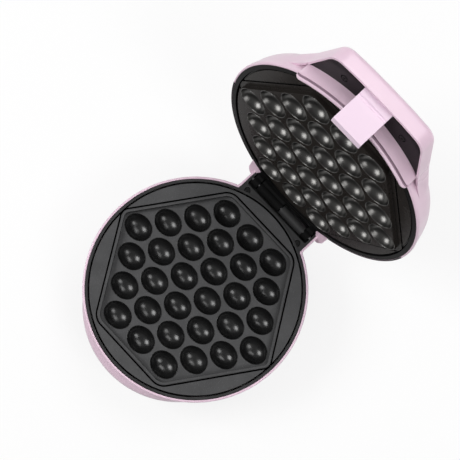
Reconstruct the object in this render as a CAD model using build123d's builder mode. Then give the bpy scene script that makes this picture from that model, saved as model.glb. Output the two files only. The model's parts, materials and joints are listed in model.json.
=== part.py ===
from build123d import *
from math import cos, radians, sin
import os

# Bubble waffle maker, modelled with its lid open. Millimetres, +Z up.
# The origin is on the table, under the middle of the lower plate. X runs along the hinge,
# and Y from the handle at the front (-Y) to the hinge at the back (+Y).

# The case
RIM_HEIGHT = 60.0          # from the table to the rim of the base
FOOT_HEIGHT = 4.0
BASE_RADIUS = 113.0
BASE_DEPTH = RIM_HEIGHT - FOOT_HEIGHT
BASE_STRAIGHT = 9.0        # upright band under the rim
BASE_FLOOR_RADIUS = 98.0
BASE_WALL = 2.4
RIM_GAP = 0.2              # each rim stays this far from the parting plane
LID_RADIUS = 112.0
LID_DEPTH = 41.5
LID_WALL = 2.2

# The bulge at the front of the base
BULGE_CENTRE_Y = -23.5
BULGE_RADIUS = 97.5
BULGE_SHOULDER_RADIUS = 89.4
BULGE_FLOOR_RADIUS = 83.0

# The hinge
OPEN_ANGLE = 104.93        # from closed to the lid's stop
HINGE_Y = 118.5
HINGE_DROP = 4.0           # axis below the rim
KNUCKLE_RADIUS = 5.4
PIN_RADIUS = 2.0
PIN_HALF = 44.4
RUNNING_GAP = 0.06         # radial, between the pin and what turns on it
FIXED_GAP = 0.02

# The hinge block of the base and the black tray in it
BLOCK_HALF = 46.9
BLOCK_BACK = 131.0
BLOCK_WALL = 2.2
BLOCK_STEP_Y = 124.5       # behind it the block stands lower, to clear the lid
BLOCK_STEP = 4.5
TRAY_HALF = 44.5
TRAY_BACK = 128.6
TRAY_INNER_HALF = 42.3
TRAY_INNER_BACK = 127.2
TRAY_FRONT = 110.8
TRAY_DEPTH = 13.0
TRAY_TOP = -0.3
APRON_TOP = -0.6
TRIM_SCREW_SPOTS = ((-36.7, 105.5), (36.7, 105.5))

# The baking plates
LOWER_PLATE_RADIUS = 107.0
UPPER_PLATE_RADIUS = 105.0
PLATE_EDGE = 1.0           # from the pads out to the plate's edge
CAST_RADIUS = 105.0        # the ridged backs stay inside it
PAD_LEVEL = 1.2            # pads below the rim
PAD_MARGIN = 4.4           # from the hexagon to the pads
PLATE_THICKNESS = 3.0
LOWER_FIELD = 5.9          # floor of the lower hexagon, below the rim
UPPER_FIELD = -3.4         # face of the upper hexagon, proud of the rim
HEX_CORNER = 104.0
HEX_FLAT_HALF = 44.5
HEX_FLAT_Y = 90.0
BUBBLE_PITCH_X = 33.83
BUBBLE_PITCH_Y = 24.91
BUBBLE_HALF_LENGTH = 15.1
BUBBLE_RADIUS = 12.5
BUBBLE_RISE = 1.5          # egg's axis, out of the field
CAST_WALL = 2.6
LEDGE_LEVEL = 12.0
LEDGE_THICKNESS = 2.5
BOSS_CIRCLE = 100.5
BOSS_ANGLES = (30, 150, 210, 330)
BOSS_RADIUS = 4.0
RIB_HEIGHT = 0.8           # of the rim around the lower hexagon
RIB_WIDTH = 2.2
GROOVE_WIDTH = 1.6         # around the six pads
GROOVE_DEPTH = 1.4

# The heaters and the reflectors
HEATER_CIRCLE = 62.0
HEATER_RADIUS = 3.3
HEATER_GAP_ANGLE = 28.0
HEATER_GAP = 0.15          # around the tube in the plate's groove
HEATER_SEAT_HALF = 6.0
HEATER_PIN_RADIUS = 1.2
HEATER_PIN_LENGTH = 9.0
LOWER_HEATER_LEVEL = 20.4
UPPER_HEATER_LEVEL = 11.2
REFLECTOR_RADIUS = 92.0
REFLECTOR_THICKNESS = 0.8
LOWER_REFLECTOR_LEVEL = 25.2
UPPER_REFLECTOR_LEVEL = 16.0
POST_CIRCLE = 38.0
POST_ANGLES = (90, 210, 330)

# The black trim rings
RING_RADIUS = 110.0
BASE_RING_INNER = 107.7
LID_RING_INNER = 105.7
RING_FLANGE = 2.2

# The handle at the front of the lid
HANDLE_TOP = 26.7
HANDLE_UNDERSIDE = 8.0
HANDLE_FRONT = 139.8
HANDLE_FRONT_BOW = 2.6     # the front runs back this much towards its corners
HANDLE_WALL = 2.6
RIDGE_OUTER = 116.0
RIDGE_INNER = 113.6
RIDGE_DROP = 8.0
RIDGE_HALF = 66.0
PANEL_LEVEL = 9.4
PANEL_THICKNESS = 1.6
HANDLE_SCREW_X = 33.4
HANDLE_SCREW_Y = -121.5

# The latch
LATCH_Y = -133.3
LATCH_LEVEL = 13.0
LATCH_TILT = 16.0          # inward from upright when the lid is shut
LATCH_HALF = 15.7
LATCH_KNUCKLE = 2.6
LATCH_PIN_RADIUS = 1.0
LATCH_LENGTH = 38.2
FLAP_OUTER = 2.0           # the flap's faces, from the line through its pin
FLAP_INNER = -0.4
LATCH_STEP = 10.0          # length of the thicker part at the pin
HOOK_LEVEL = -21.6
HOOK_REACH_Y = -117.5
CATCH_LEVEL = -21.0
CATCH_WIDTH = 34.6
CATCH_HEIGHT = 8.8

# Fasteners
SCREW_RADIUS = 1.5
SCREW_HEAD_RADIUS = 2.9
SCREW_HEAD_HEIGHT = 1.8
COVER_THICKNESS = 2.5
COVER_SCREWS = ((93, 270), (88, 345), (88, 195), (88, 48), (88, 132))   # circle and angle
CABLE_LEVEL = -42.0
FOOT_RADIUS = 8.0
VENT_LENGTH = 46.0         # the cooling slots of the bottom cover
VENT_WIDTH = 3.0
VENT_PITCH = 12.0
VENT_COUNT = 5
LAMP_SPOTS = ((-12, -121), (12, -121))

# Frames of the three assemblies. The local Z of DOWN and LID runs away from the mouth.
UP = Plane((0, 0, RIM_HEIGHT))
DOWN = Plane((0, 0, RIM_HEIGHT), x_dir=(1, 0, 0), z_dir=(0, 0, -1))


def swung(y, level):
    """Where a point of the shut lid stands when the lid is open."""
    c, s = cos(radians(OPEN_ANGLE)), sin(radians(OPEN_ANGLE))
    dy, dz = y - HINGE_Y, level + HINGE_DROP
    return (0, HINGE_Y + dy * c + dz * s, RIM_HEIGHT - HINGE_DROP - dy * s + dz * c)


LID = Plane(
    swung(0, 0),
    x_dir=(1, 0, 0),
    z_dir=(0, sin(radians(OPEN_ANGLE)), cos(radians(OPEN_ANGLE))),
)


def profile(frame):
    """The plane through a frame's X and Z."""
    return Plane(frame.origin, x_dir=frame.x_dir, z_dir=-frame.y_dir)


def side(frame, x=0.0):
    """The plane through a frame's Y and Z, at x."""
    return Plane(frame.origin + frame.x_dir * x, x_dir=frame.y_dir, z_dir=frame.x_dir)


def spin(frame):
    """A frame's own upright axis."""
    return Axis(frame.origin, frame.z_dir)


def ring_spots(circle, angles):
    return [(circle * cos(radians(a)), circle * sin(radians(a))) for a in angles]


BOSS_SPOTS = ring_spots(BOSS_CIRCLE, BOSS_ANGLES)
POST_SPOTS = ring_spots(POST_CIRCLE, POST_ANGLES)


def bubble_spots():
    """Seven rows of three to six and back to three, each shifted by half a pitch."""
    spots = []
    for row in range(-3, 4):
        count = 6 - abs(row)
        for i in range(count):
            spots.append(((i - (count - 1) / 2) * BUBBLE_PITCH_X, row * BUBBLE_PITCH_Y))
    return spots


# Shared plan shapes
def hexagon(grow=0.0):
    """The baking field's outline: flats at the front and back, corners at the sides."""
    corners = []
    for x, y in ((1, 0), (HEX_FLAT_HALF / HEX_CORNER, 1), (-HEX_FLAT_HALF / HEX_CORNER, 1),
                 (-1, 0), (-HEX_FLAT_HALF / HEX_CORNER, -1), (HEX_FLAT_HALF / HEX_CORNER, -1)):
        corners.append((x * HEX_CORNER, y * HEX_FLAT_Y))
    with BuildSketch() as plan:
        Polygon(*corners, align=None)
        by_side = plan.vertices().sort_by(Axis.X)
        fillet([by_side[0], by_side[-1]], radius=5)
        fillet([v for v in plan.vertices() if abs(v.Y) > HEX_FLAT_Y - 1], radius=12)
        if grow:
            offset(amount=grow)
    return plan.sketch


def segment_pads(radius):
    """The six pads between the hexagon and a circle."""
    with BuildSketch() as plan:
        Circle(radius)
        add(hexagon(PAD_MARGIN), mode=Mode.SUBTRACT)
    return plan.sketch


def handle_plan(inset=0.0):
    """The handle seen from above the shut lid."""
    with BuildSketch() as plan:
        with BuildLine():
            ThreePointArc((-50, HANDLE_FRONT_BOW - HANDLE_FRONT), (0, -HANDLE_FRONT),
                          (50, HANDLE_FRONT_BOW - HANDLE_FRONT))
            Polyline((50, HANDLE_FRONT_BOW - HANDLE_FRONT), (66.5, -97), (81, -70.5), (70, -50),
                     (-70, -50), (-81, -70.5), (-66.5, -97), (-50, HANDLE_FRONT_BOW - HANDLE_FRONT))
        make_face()
        fillet(plan.vertices().sort_by(Axis.Y)[:2], radius=14)
        if inset:
            offset(amount=-inset)
    return plan.sketch


def front_sector(inner, outer, half):
    """A strip of a ring in front of the lid's middle."""
    with BuildSketch() as strip:
        Circle(outer)
        Circle(inner, mode=Mode.SUBTRACT)
        with Locations((0, -100)):
            Rectangle(2 * half, 140, mode=Mode.INTERSECT)
    return strip.sketch


# The casings
def base_body(inset=0.0):
    """The base's round bowl with the bulge at its front, solid."""
    top = 1.0 if inset else -RIM_GAP
    low = -BASE_DEPTH - 1 if inset else -BASE_DEPTH
    rim = BASE_RADIUS - inset
    floor = BASE_FLOOR_RADIUS - inset
    shoulder = BULGE_SHOULDER_RADIUS - inset
    crest = BULGE_RADIUS - inset
    bulge_floor = BULGE_FLOOR_RADIUS - inset
    with BuildPart() as body:
        with BuildSketch(profile(UP)) as bowl:
            with BuildLine():
                if inset:
                    Line((floor, -BASE_DEPTH), (floor, low))
                Polyline((floor, low), (0, low), (0, top), (rim, top), (rim, -BASE_STRAIGHT))
                Bezier((rim, -BASE_STRAIGHT), (rim, -30), (108 - inset, -44), (floor, -BASE_DEPTH))
            make_face()
            if not inset:
                fillet(bowl.vertices().group_by(Axis.Y)[-1].sort_by(Axis.X)[-1], radius=1.2)
        revolve(axis=spin(UP))
        with BuildSketch(Plane((0, BULGE_CENTRE_Y, RIM_HEIGHT), x_dir=(1, 0, 0), z_dir=(0, -1, 0))):
            with BuildLine():
                if inset:
                    Line((bulge_floor, -BASE_DEPTH), (bulge_floor, low))
                Polyline((bulge_floor, low), (0, low), (0, -BASE_STRAIGHT - inset),
                         (shoulder, -BASE_STRAIGHT - inset))
                Bezier((shoulder, -BASE_STRAIGHT - inset), (94.5 - inset, -12.5 - inset),
                       (crest, -16), (crest, -21))
                Bezier((crest, -21), (crest, -34), (91 - inset, -46), (bulge_floor, -BASE_DEPTH))
            make_face()
        revolve(axis=Axis((0, BULGE_CENTRE_Y, 0), (0, 0, 1)))
    return body.part


def hinge_block(inset=0.0):
    """The block behind the base's bowl that carries the hinge, solid."""
    low = -BASE_DEPTH - 1 if inset else -BASE_DEPTH
    top = 1.0 if inset else TRAY_TOP
    depth = BLOCK_BACK - inset - 60
    with BuildPart() as block:
        with BuildSketch(UP.offset(low)):
            with Locations((0, 60 + depth / 2)):
                Rectangle(2 * (BLOCK_HALF - inset), depth)
        extrude(amount=top - low)
        fillet(block.edges().filter_by(Axis.Z).group_by(Axis.Y)[-1], radius=7 - inset)
    return block.part


def lid_dome(inset=0.0):
    """The lid's round dome, solid."""
    low = -1.0 if inset else RIM_GAP
    top = LID_DEPTH - inset
    with BuildPart() as dome:
        with BuildSketch(profile(LID)) as half:
            with BuildLine():
                Polyline((0, top), (0, low), (LID_RADIUS - inset, low), (LID_RADIUS - inset, 3),
                         (109.7 - inset, 12))
                Bezier((109.7 - inset, 12), (107.8 - inset, 22), (104 - inset, 32.5 - inset),
                       (90 - inset, 37.5 - inset))
                Bezier((90 - inset, 37.5 - inset), (77.5 - inset, top), (30, top), (0, top))
            make_face()
            if not inset:
                fillet(half.vertices().group_by(Axis.Y)[0].sort_by(Axis.X)[-1], radius=1.2)
        revolve(axis=spin(LID))
    return dome.part


def lid_hump(inset=0.0):
    """The hump over the hinge at the back of the lid, solid."""
    low = 0.8 + inset
    with BuildPart() as hump:
        with BuildSketch(LID.offset(low)):
            Polygon((-54.5, 70), (54.5, 70), (54, 116), (49.8, 124.5), (-49.8, 124.5), (-54, 116),
                    align=None)
            if inset:
                offset(amount=-inset)
        extrude(amount=24 - inset - low)
        fillet(hump.faces().sort_by(spin(LID))[-1].edges(), radius=6 - inset)
    return hump.part


def handle_block():
    """The handle at the front of the lid, without its hollow."""
    with BuildPart() as block:
        with BuildSketch(LID.offset(HANDLE_UNDERSIDE)):
            add(handle_plan())
        extrude(amount=HANDLE_TOP - HANDLE_UNDERSIDE)
        roof = block.faces().sort_by(spin(LID))[-1]
        fillet([e for e in roof.edges() if LID.to_local_coords(e.center()).Y < -60], radius=6)
    return block.part


def ledge(frame, outer):
    """The ledge inside a casing that carries a plate and its trim ring."""
    with BuildPart() as shelf:
        with BuildSketch(frame.offset(LEDGE_LEVEL)):
            Circle(outer)
            add(hexagon(3.4), mode=Mode.SUBTRACT)
            with Locations(*BOSS_SPOTS):
                Circle(SCREW_RADIUS + 0.5, mode=Mode.SUBTRACT)
        extrude(amount=LEDGE_THICKNESS)
    return shelf.part


COVER_TOP = COVER_THICKNESS - BASE_DEPTH
COVER_SCREW_SPOTS = [ring_spots(circle, [angle])[0] for circle, angle in COVER_SCREWS]


def base_inner_parts():
    """Posts for the bottom cover's screws, with their ribs, and the block behind the catch."""
    with BuildPart() as inner:
        with BuildSketch(UP.offset(COVER_TOP)):
            with Locations(*COVER_SCREW_SPOTS):
                Circle(4)
            for circle, angle in COVER_SCREWS:
                with Locations(Location((0, 0, 0), (0, 0, angle))):
                    with Locations((circle + 12, 0)):
                        Rectangle(20, 2)
        extrude(amount=20)
        with BuildSketch(UP.offset(CATCH_LEVEL + 2.2)):
            with Locations((0, -117)):
                Rectangle(CATCH_WIDTH + 4.4, 8)
        extrude(amount=-CATCH_HEIGHT - 4.4)
        add(base_body(0.6), mode=Mode.INTERSECT)
    return inner.part


with BuildPart() as base_shell:
    add(base_body())
    add(hinge_block())
    add(base_body(BASE_WALL), mode=Mode.SUBTRACT)
    add(hinge_block(BLOCK_WALL), mode=Mode.SUBTRACT)
    add(ledge(DOWN, BASE_RADIUS - 1.5))
    add(base_inner_parts())
    # pillars under the trim ring's screws, tied to the block's side walls
    with BuildSketch(UP.offset(-LEDGE_LEVEL)):
        with Locations((-39.3, 105), (39.3, 105)):
            Rectangle(12.6, 6)
    extrude(amount=-24)
    # the catch's opening, whose roof holds the latch's hook
    with BuildSketch(UP.offset(CATCH_LEVEL)):
        with Locations((0, -120.6)):
            Rectangle(CATCH_WIDTH, 10)
    extrude(amount=-CATCH_HEIGHT, mode=Mode.SUBTRACT)
    # room for the hinge tray, and the lowered back of the block
    with BuildSketch(UP.offset(1)):
        with Locations((0, 112.4)):
            Rectangle(2 * (BLOCK_HALF - BLOCK_WALL), 8.4)
    extrude(amount=-18, mode=Mode.SUBTRACT)
    with BuildSketch(UP.offset(1)):
        with Locations((0, BLOCK_STEP_Y + 5)):
            Rectangle(86, 10)
    extrude(amount=-BLOCK_STEP - 1, mode=Mode.SUBTRACT)
    # screw holes and the cord's outlet
    with BuildSketch(UP.offset(COVER_TOP)):
        with Locations(*COVER_SCREW_SPOTS):
            Circle(SCREW_RADIUS + FIXED_GAP)
    extrude(amount=14, mode=Mode.SUBTRACT)
    with BuildSketch(UP.offset(-LEDGE_LEVEL)):
        with Locations(*TRIM_SCREW_SPOTS):
            Circle(SCREW_RADIUS + FIXED_GAP)
    extrude(amount=-14, mode=Mode.SUBTRACT)
    with BuildSketch(Plane((0, BLOCK_BACK + 1, RIM_HEIGHT + CABLE_LEVEL), z_dir=(0, -1, 0))):
        Circle(5.6)
    extrude(amount=6, mode=Mode.SUBTRACT)

HANDLE_SCREW_SPOTS = ((-HANDLE_SCREW_X, HANDLE_SCREW_Y), (HANDLE_SCREW_X, HANDLE_SCREW_Y))
PANEL_BACK = PANEL_LEVEL + PANEL_THICKNESS
SCREW_WELL_TOP = PANEL_BACK + 1.6
with BuildPart() as lid_shell:
    add(lid_dome())
    add(handle_block())
    add(lid_hump())
    # the ridge along the handle, with the lip that overlaps the base's rim
    with BuildSketch(LID.offset(RIM_GAP)):
        add(front_sector(108.5, RIDGE_OUTER, RIDGE_HALF))
    extrude(amount=12)
    with BuildSketch(LID.offset(-RIDGE_DROP)):
        add(front_sector(RIDGE_INNER, RIDGE_OUTER, RIDGE_HALF))
    extrude(amount=RIDGE_DROP + RIM_GAP)
    add(lid_dome(LID_WALL), mode=Mode.SUBTRACT)
    add(lid_hump(LID_WALL), mode=Mode.SUBTRACT)
    # the seat of the trim ring
    with BuildSketch(LID.offset(-1)):
        Circle(RING_RADIUS + 0.15)
    extrude(amount=1 + RIM_GAP + RING_FLANGE + 0.05, mode=Mode.SUBTRACT)
    # the handle's hollow: a seat for the cover panel, then the chamber over it
    with BuildSketch(LID.offset(HANDLE_UNDERSIDE - 1)):
        add(handle_plan(HANDLE_WALL))
        Circle(RIDGE_OUTER + 0.05, mode=Mode.SUBTRACT)
    extrude(amount=PANEL_BACK - HANDLE_UNDERSIDE + 1, mode=Mode.SUBTRACT)
    with BuildSketch(LID.offset(PANEL_BACK)):
        add(handle_plan(HANDLE_WALL))
        Circle(111, mode=Mode.SUBTRACT)
    extrude(amount=HANDLE_TOP - HANDLE_WALL - PANEL_BACK, mode=Mode.SUBTRACT)
    # posts for the panel's screws and ears for the latch's pin
    with BuildSketch(LID.offset(SCREW_WELL_TOP)):
        with Locations(*HANDLE_SCREW_SPOTS):
            Circle(3.6)
    extrude(amount=HANDLE_TOP - 2 - SCREW_WELL_TOP)
    with BuildSketch(LID.offset(PANEL_BACK + 0.2)):
        with Locations((-18.1, -133.6), (18.1, -133.6)):
            Rectangle(3, 8)
    extrude(amount=HANDLE_TOP - 2 - PANEL_BACK)
    add(ledge(LID, 108.8))
    # the groove along the ridge
    with BuildSketch(LID.offset(-6)):
        add(front_sector(RIDGE_OUTER - 1.3, RIDGE_OUTER + 1, RIDGE_HALF - 3))
    extrude(amount=2.7, mode=Mode.SUBTRACT)
    # the opening for the hinge arms, and the notch that clears the hinge block
    with BuildSketch(LID.offset(-1)):
        with Locations((0, 115)):
            Rectangle(87, 32)
    extrude(amount=12.9, mode=Mode.SUBTRACT)
    with BuildSketch(LID.offset(-1)):
        with Locations((0, 120.5)):
            Rectangle(95, 19)
    extrude(amount=13.5, mode=Mode.SUBTRACT)
    # screw holes, the pin's hole, the lamp windows and the wires' way through
    with BuildSketch(LID.offset(SCREW_WELL_TOP)):
        with Locations(*HANDLE_SCREW_SPOTS):
            Circle(SCREW_RADIUS + FIXED_GAP)
    extrude(amount=9, mode=Mode.SUBTRACT)
    with BuildSketch(side(LID, -19.7)):
        with Locations((LATCH_Y, LATCH_LEVEL)):
            Circle(LATCH_PIN_RADIUS + FIXED_GAP)
    extrude(amount=39.4, mode=Mode.SUBTRACT)
    with BuildSketch(LID.offset(HANDLE_TOP - 4)):
        with Locations(*LAMP_SPOTS):
            RectangleRounded(12, 4.6, 1.2)
    extrude(amount=6, mode=Mode.SUBTRACT)
    with BuildSketch(Plane(LID.from_local_coords((0, -95, 18)), x_dir=LID.x_dir, z_dir=-LID.y_dir)):
        Circle(3)
    extrude(amount=22, mode=Mode.SUBTRACT)


def bottom_plan(gap=0.0):
    """The opening of the base's underside."""
    with BuildSketch() as plan:
        with Locations((0, 60 + (BLOCK_BACK - BLOCK_WALL - 60) / 2)):
            Rectangle(2 * (BLOCK_HALF - BLOCK_WALL), BLOCK_BACK - BLOCK_WALL - 60)
        fillet(plan.vertices().group_by(Axis.Y)[-1], radius=4.8)
        Circle(BASE_FLOOR_RADIUS - BASE_WALL)
        with Locations((0, BULGE_CENTRE_Y)):
            Circle(BULGE_FLOOR_RADIUS - BASE_WALL)
        offset(amount=-gap)
    return plan.sketch


FOOT_SPOTS = ((-58, -66), (58, -66), (-33, 112), (33, 112))
with BuildPart() as base_bottom_cover:
    with BuildSketch(UP.offset(-BASE_DEPTH)):
        add(bottom_plan(0.4))
        with Locations(*COVER_SCREW_SPOTS):
            Circle(SCREW_RADIUS + 0.1, mode=Mode.SUBTRACT)
        with Locations(*FOOT_SPOTS):
            Circle(2.5, mode=Mode.SUBTRACT)
        with GridLocations(0, VENT_PITCH, 1, VENT_COUNT):
            SlotOverall(VENT_LENGTH, VENT_WIDTH, mode=Mode.SUBTRACT)
    extrude(amount=COVER_THICKNESS)

with BuildPart() as base_feet:
    with BuildSketch(Plane.XY):
        with Locations(*FOOT_SPOTS):
            Circle(FOOT_RADIUS)
    extrude(amount=FOOT_HEIGHT, taper=3)
    with BuildSketch(Plane.XY.offset(FOOT_HEIGHT)):
        with Locations(*FOOT_SPOTS):
            Circle(2.45)
    extrude(amount=COVER_THICKNESS)


# The trim rings
def trim_ring(frame, inner, skirt_inner, skirt_outer):
    """A flat ring around a plate with a skirt that stands on the ledge."""
    with BuildPart() as ring:
        with BuildSketch(frame.offset(RIM_GAP)):
            Circle(RING_RADIUS)
            Circle(inner, mode=Mode.SUBTRACT)
        extrude(amount=RING_FLANGE)
        with BuildSketch(frame.offset(RIM_GAP + RING_FLANGE)):
            Circle(skirt_outer)
            Circle(skirt_inner, mode=Mode.SUBTRACT)
        extrude(amount=LEDGE_LEVEL - RIM_GAP - RING_FLANGE)
    return ring.part


with BuildPart() as base_trim_ring:
    add(trim_ring(DOWN, BASE_RING_INNER, 108.0, RING_RADIUS))
    # the apron, its screw wells and the hinge tray
    with BuildSketch(UP.offset(APRON_TOP)):
        with Locations((0, TRAY_FRONT - 15)):
            Rectangle(2 * TRAY_HALF, 30)
        Circle(RING_RADIUS - 1, mode=Mode.SUBTRACT)
    extrude(amount=-2.4)
    with BuildSketch(UP.offset(APRON_TOP)):
        with Locations(*TRIM_SCREW_SPOTS):
            Circle(4.4)
    extrude(amount=-LEDGE_LEVEL - APRON_TOP)
    with BuildSketch(UP.offset(TRAY_TOP)) as tray_plan:
        with Locations((0, (TRAY_FRONT - 2 + TRAY_BACK) / 2)):
            Rectangle(2 * TRAY_HALF, TRAY_BACK - TRAY_FRONT + 2)
        fillet(tray_plan.vertices().group_by(Axis.Y)[-1], radius=4.6)
    extrude(amount=-TRAY_DEPTH - 2)
    with BuildSketch(UP.offset(TRAY_TOP)):
        with Locations((0, (TRAY_FRONT + TRAY_INNER_BACK) / 2)):
            RectangleRounded(2 * TRAY_INNER_HALF, TRAY_INNER_BACK - TRAY_FRONT, 2)
    extrude(amount=-TRAY_DEPTH, mode=Mode.SUBTRACT)
    with BuildSketch(UP.offset(APRON_TOP)):
        with Locations((0, TRAY_FRONT)):
            Rectangle(2 * TRAY_INNER_HALF, 5)
        Circle(RING_RADIUS, mode=Mode.SUBTRACT)
    extrude(amount=1, mode=Mode.SUBTRACT)
    with BuildSketch(UP):
        with Locations((0, BLOCK_STEP_Y + 5)):
            Rectangle(86, 10)
    extrude(amount=-BLOCK_STEP, mode=Mode.SUBTRACT)
    with BuildSketch(UP.offset(APRON_TOP)):
        with Locations(*TRIM_SCREW_SPOTS):
            Circle(3.4)
    extrude(amount=-3, mode=Mode.SUBTRACT)
    with BuildSketch(UP.offset(APRON_TOP)):
        with Locations(*TRIM_SCREW_SPOTS):
            Circle(SCREW_RADIUS + FIXED_GAP)
    extrude(amount=-LEDGE_LEVEL, mode=Mode.SUBTRACT)
    with BuildSketch(side(UP, -TRAY_HALF - 1)):
        with Locations((HINGE_Y, -HINGE_DROP)):
            Circle(PIN_RADIUS + FIXED_GAP)
    extrude(amount=2 * TRAY_HALF + 2, mode=Mode.SUBTRACT)


def hinge_eyes(frame, spans, root):
    """Eyes around the hinge's axis over the given spans of X, each joined to its root."""
    with BuildPart() as eyes:
        for start, end in spans:
            with BuildSketch(side(frame, start)):
                with Locations((HINGE_Y, -HINGE_DROP)):
                    Circle(KNUCKLE_RADIUS)
                Polygon(*root, (HINGE_Y, -HINGE_DROP), align=None)
            extrude(amount=end - start)
    return eyes.part


ARM_ROOT = ((119.5, 0.7), (109.5, 8), (98, 8), (98, 0.25), (111.4, 0.25), (113.9, -2.6))
WEB_ROOT = ((115.4, -4.2), (115.2, -13.2), (121.8, -13.2), (121.6, -4.2))
LID_EYES = ((-40.7, -32.8), (-31.5, -0.8), (32.8, 40.7))
BARREL = (0.5, 32.0)
with BuildPart() as lid_trim_ring:
    add(hinge_eyes(LID, LID_EYES, ARM_ROOT))
    with BuildSketch(LID.offset(-1)):
        Circle(LID_RING_INNER)
    extrude(amount=14, mode=Mode.SUBTRACT)
    add(trim_ring(LID, LID_RING_INNER, LID_RING_INNER, 107.2))
    with BuildSketch(side(LID, -TRAY_HALF)):
        with Locations((HINGE_Y, -HINGE_DROP)):
            Circle(PIN_RADIUS + RUNNING_GAP)
    extrude(amount=2 * TRAY_HALF, mode=Mode.SUBTRACT)

with BuildPart() as base_hinge_barrel:
    add(hinge_eyes(UP, (BARREL,), WEB_ROOT))
    with BuildSketch(side(UP, BARREL[0] - 1)):
        with Locations((HINGE_Y, -HINGE_DROP)):
            Circle(PIN_RADIUS + FIXED_GAP)
    extrude(amount=BARREL[1] - BARREL[0] + 2, mode=Mode.SUBTRACT)

with BuildPart() as hinge_pin:
    with BuildSketch(side(UP, -PIN_HALF)):
        with Locations((HINGE_Y, -HINGE_DROP)):
            Circle(PIN_RADIUS)
    extrude(amount=2 * PIN_HALF)
    chamfer(hinge_pin.edges().filter_by(GeomType.CIRCLE), length=0.4)


# The baking plates, their heaters and reflectors
def bubble_cup():
    """The egg that hollows one cavity, about the origin."""
    with BuildPart() as egg:
        with BuildSketch(Plane.XZ):
            Ellipse(BUBBLE_HALF_LENGTH, BUBBLE_RADIUS)
            with Locations((0, -BUBBLE_RADIUS)):
                Rectangle(2 * BUBBLE_HALF_LENGTH + 1, 2 * BUBBLE_RADIUS, mode=Mode.SUBTRACT)
        revolve(axis=Axis.X)
    return egg.part


def baking_plate(frame, radius, field, heater_level, reflector_level):
    """A cast plate with a hexagonal field of bubbles, six pads and its heater's seat."""
    egg_level = field - BUBBLE_RISE
    ridge = BUBBLE_RADIUS + CAST_WALL
    pad_radius = radius - PLATE_EDGE
    with BuildPart() as plate:
        # the ridged back over the rows, then the seat of the heater
        with BuildSketch(side(frame, -radius)):
            for row in range(-3, 4):
                with Locations((row * BUBBLE_PITCH_Y, egg_level)):
                    Circle(ridge)
        extrude(amount=2 * radius)
        with BuildSketch(frame.offset(PAD_LEVEL)):
            add(hexagon(2.6))
            Circle(CAST_RADIUS, mode=Mode.INTERSECT)
        extrude(amount=30, mode=Mode.INTERSECT)
        with BuildSketch(frame.offset(PAD_LEVEL + 1)):
            Circle(HEATER_CIRCLE + HEATER_SEAT_HALF)
            Circle(HEATER_CIRCLE - HEATER_SEAT_HALF, mode=Mode.SUBTRACT)
        extrude(amount=heater_level - PAD_LEVEL - 1)
        with BuildSketch(frame.offset(PAD_LEVEL + 1)):
            with Locations(*POST_SPOTS):
                Circle(BOSS_RADIUS)
        extrude(amount=reflector_level - PAD_LEVEL - 1)
        with BuildSketch(frame.offset(PAD_LEVEL)):
            Circle(radius)
        extrude(amount=PLATE_THICKNESS)
        with BuildSketch(frame.offset(PAD_LEVEL + 1)):
            with Locations(*BOSS_SPOTS):
                Circle(BOSS_RADIUS)
        extrude(amount=LEDGE_LEVEL - PAD_LEVEL - 1)
        # the hexagon: sunk in the lower plate, proud on the upper one
        if field > PAD_LEVEL:
            with BuildSketch(frame.offset(PAD_LEVEL - RIB_HEIGHT)):
                add(hexagon(RIB_WIDTH))
            extrude(amount=field + CAST_WALL - PAD_LEVEL + RIB_HEIGHT)
            with BuildSketch(frame.offset(PAD_LEVEL - RIB_HEIGHT)):
                add(hexagon())
            extrude(amount=field - PAD_LEVEL + RIB_HEIGHT, mode=Mode.SUBTRACT)
        else:
            with BuildSketch(frame.offset(field)):
                add(hexagon(-2))
            extrude(amount=PAD_LEVEL + 1 - field)
        # grooves around the pads, screw holes and the heater's groove
        with BuildSketch(frame.offset(PAD_LEVEL)):
            Circle(pad_radius + GROOVE_WIDTH)
            add(hexagon(PAD_MARGIN - GROOVE_WIDTH), mode=Mode.SUBTRACT)
            add(segment_pads(pad_radius), mode=Mode.SUBTRACT)
        extrude(amount=GROOVE_DEPTH, mode=Mode.SUBTRACT)
        with BuildSketch(frame.offset(LEDGE_LEVEL)):
            with Locations(*BOSS_SPOTS):
                Circle(SCREW_RADIUS + FIXED_GAP)
        extrude(amount=PAD_LEVEL + 2 - LEDGE_LEVEL, mode=Mode.SUBTRACT)
        with BuildSketch(frame.offset(reflector_level)):
            with Locations(*POST_SPOTS):
                Circle(SCREW_RADIUS + FIXED_GAP)
        extrude(amount=-5, mode=Mode.SUBTRACT)
        with BuildSketch(profile(frame)):
            with Locations((HEATER_CIRCLE, heater_level)):
                Circle(HEATER_RADIUS + HEATER_GAP)
        revolve(axis=spin(frame), mode=Mode.SUBTRACT)
        # the cavities
        egg = bubble_cup()
        eggs = [Location(frame) * Pos(x, y, egg_level) * egg for x, y in bubble_spots()]
        add(eggs, mode=Mode.SUBTRACT)
    return plate.part


def heater(frame, level):
    """The bent tube of a heating element, open towards the frame's +Y."""
    first = radians(90 + HEATER_GAP_ANGLE / 2)
    outward = frame.x_dir * cos(first) + frame.y_dir * sin(first)
    with BuildPart() as tube:
        with BuildSketch(Plane(frame.origin, x_dir=outward, z_dir=outward.cross(frame.z_dir))):
            with Locations((HEATER_CIRCLE, level)):
                Circle(HEATER_RADIUS)
        revolve(axis=spin(frame), revolution_arc=360 - HEATER_GAP_ANGLE)
    return tube.part


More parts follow.
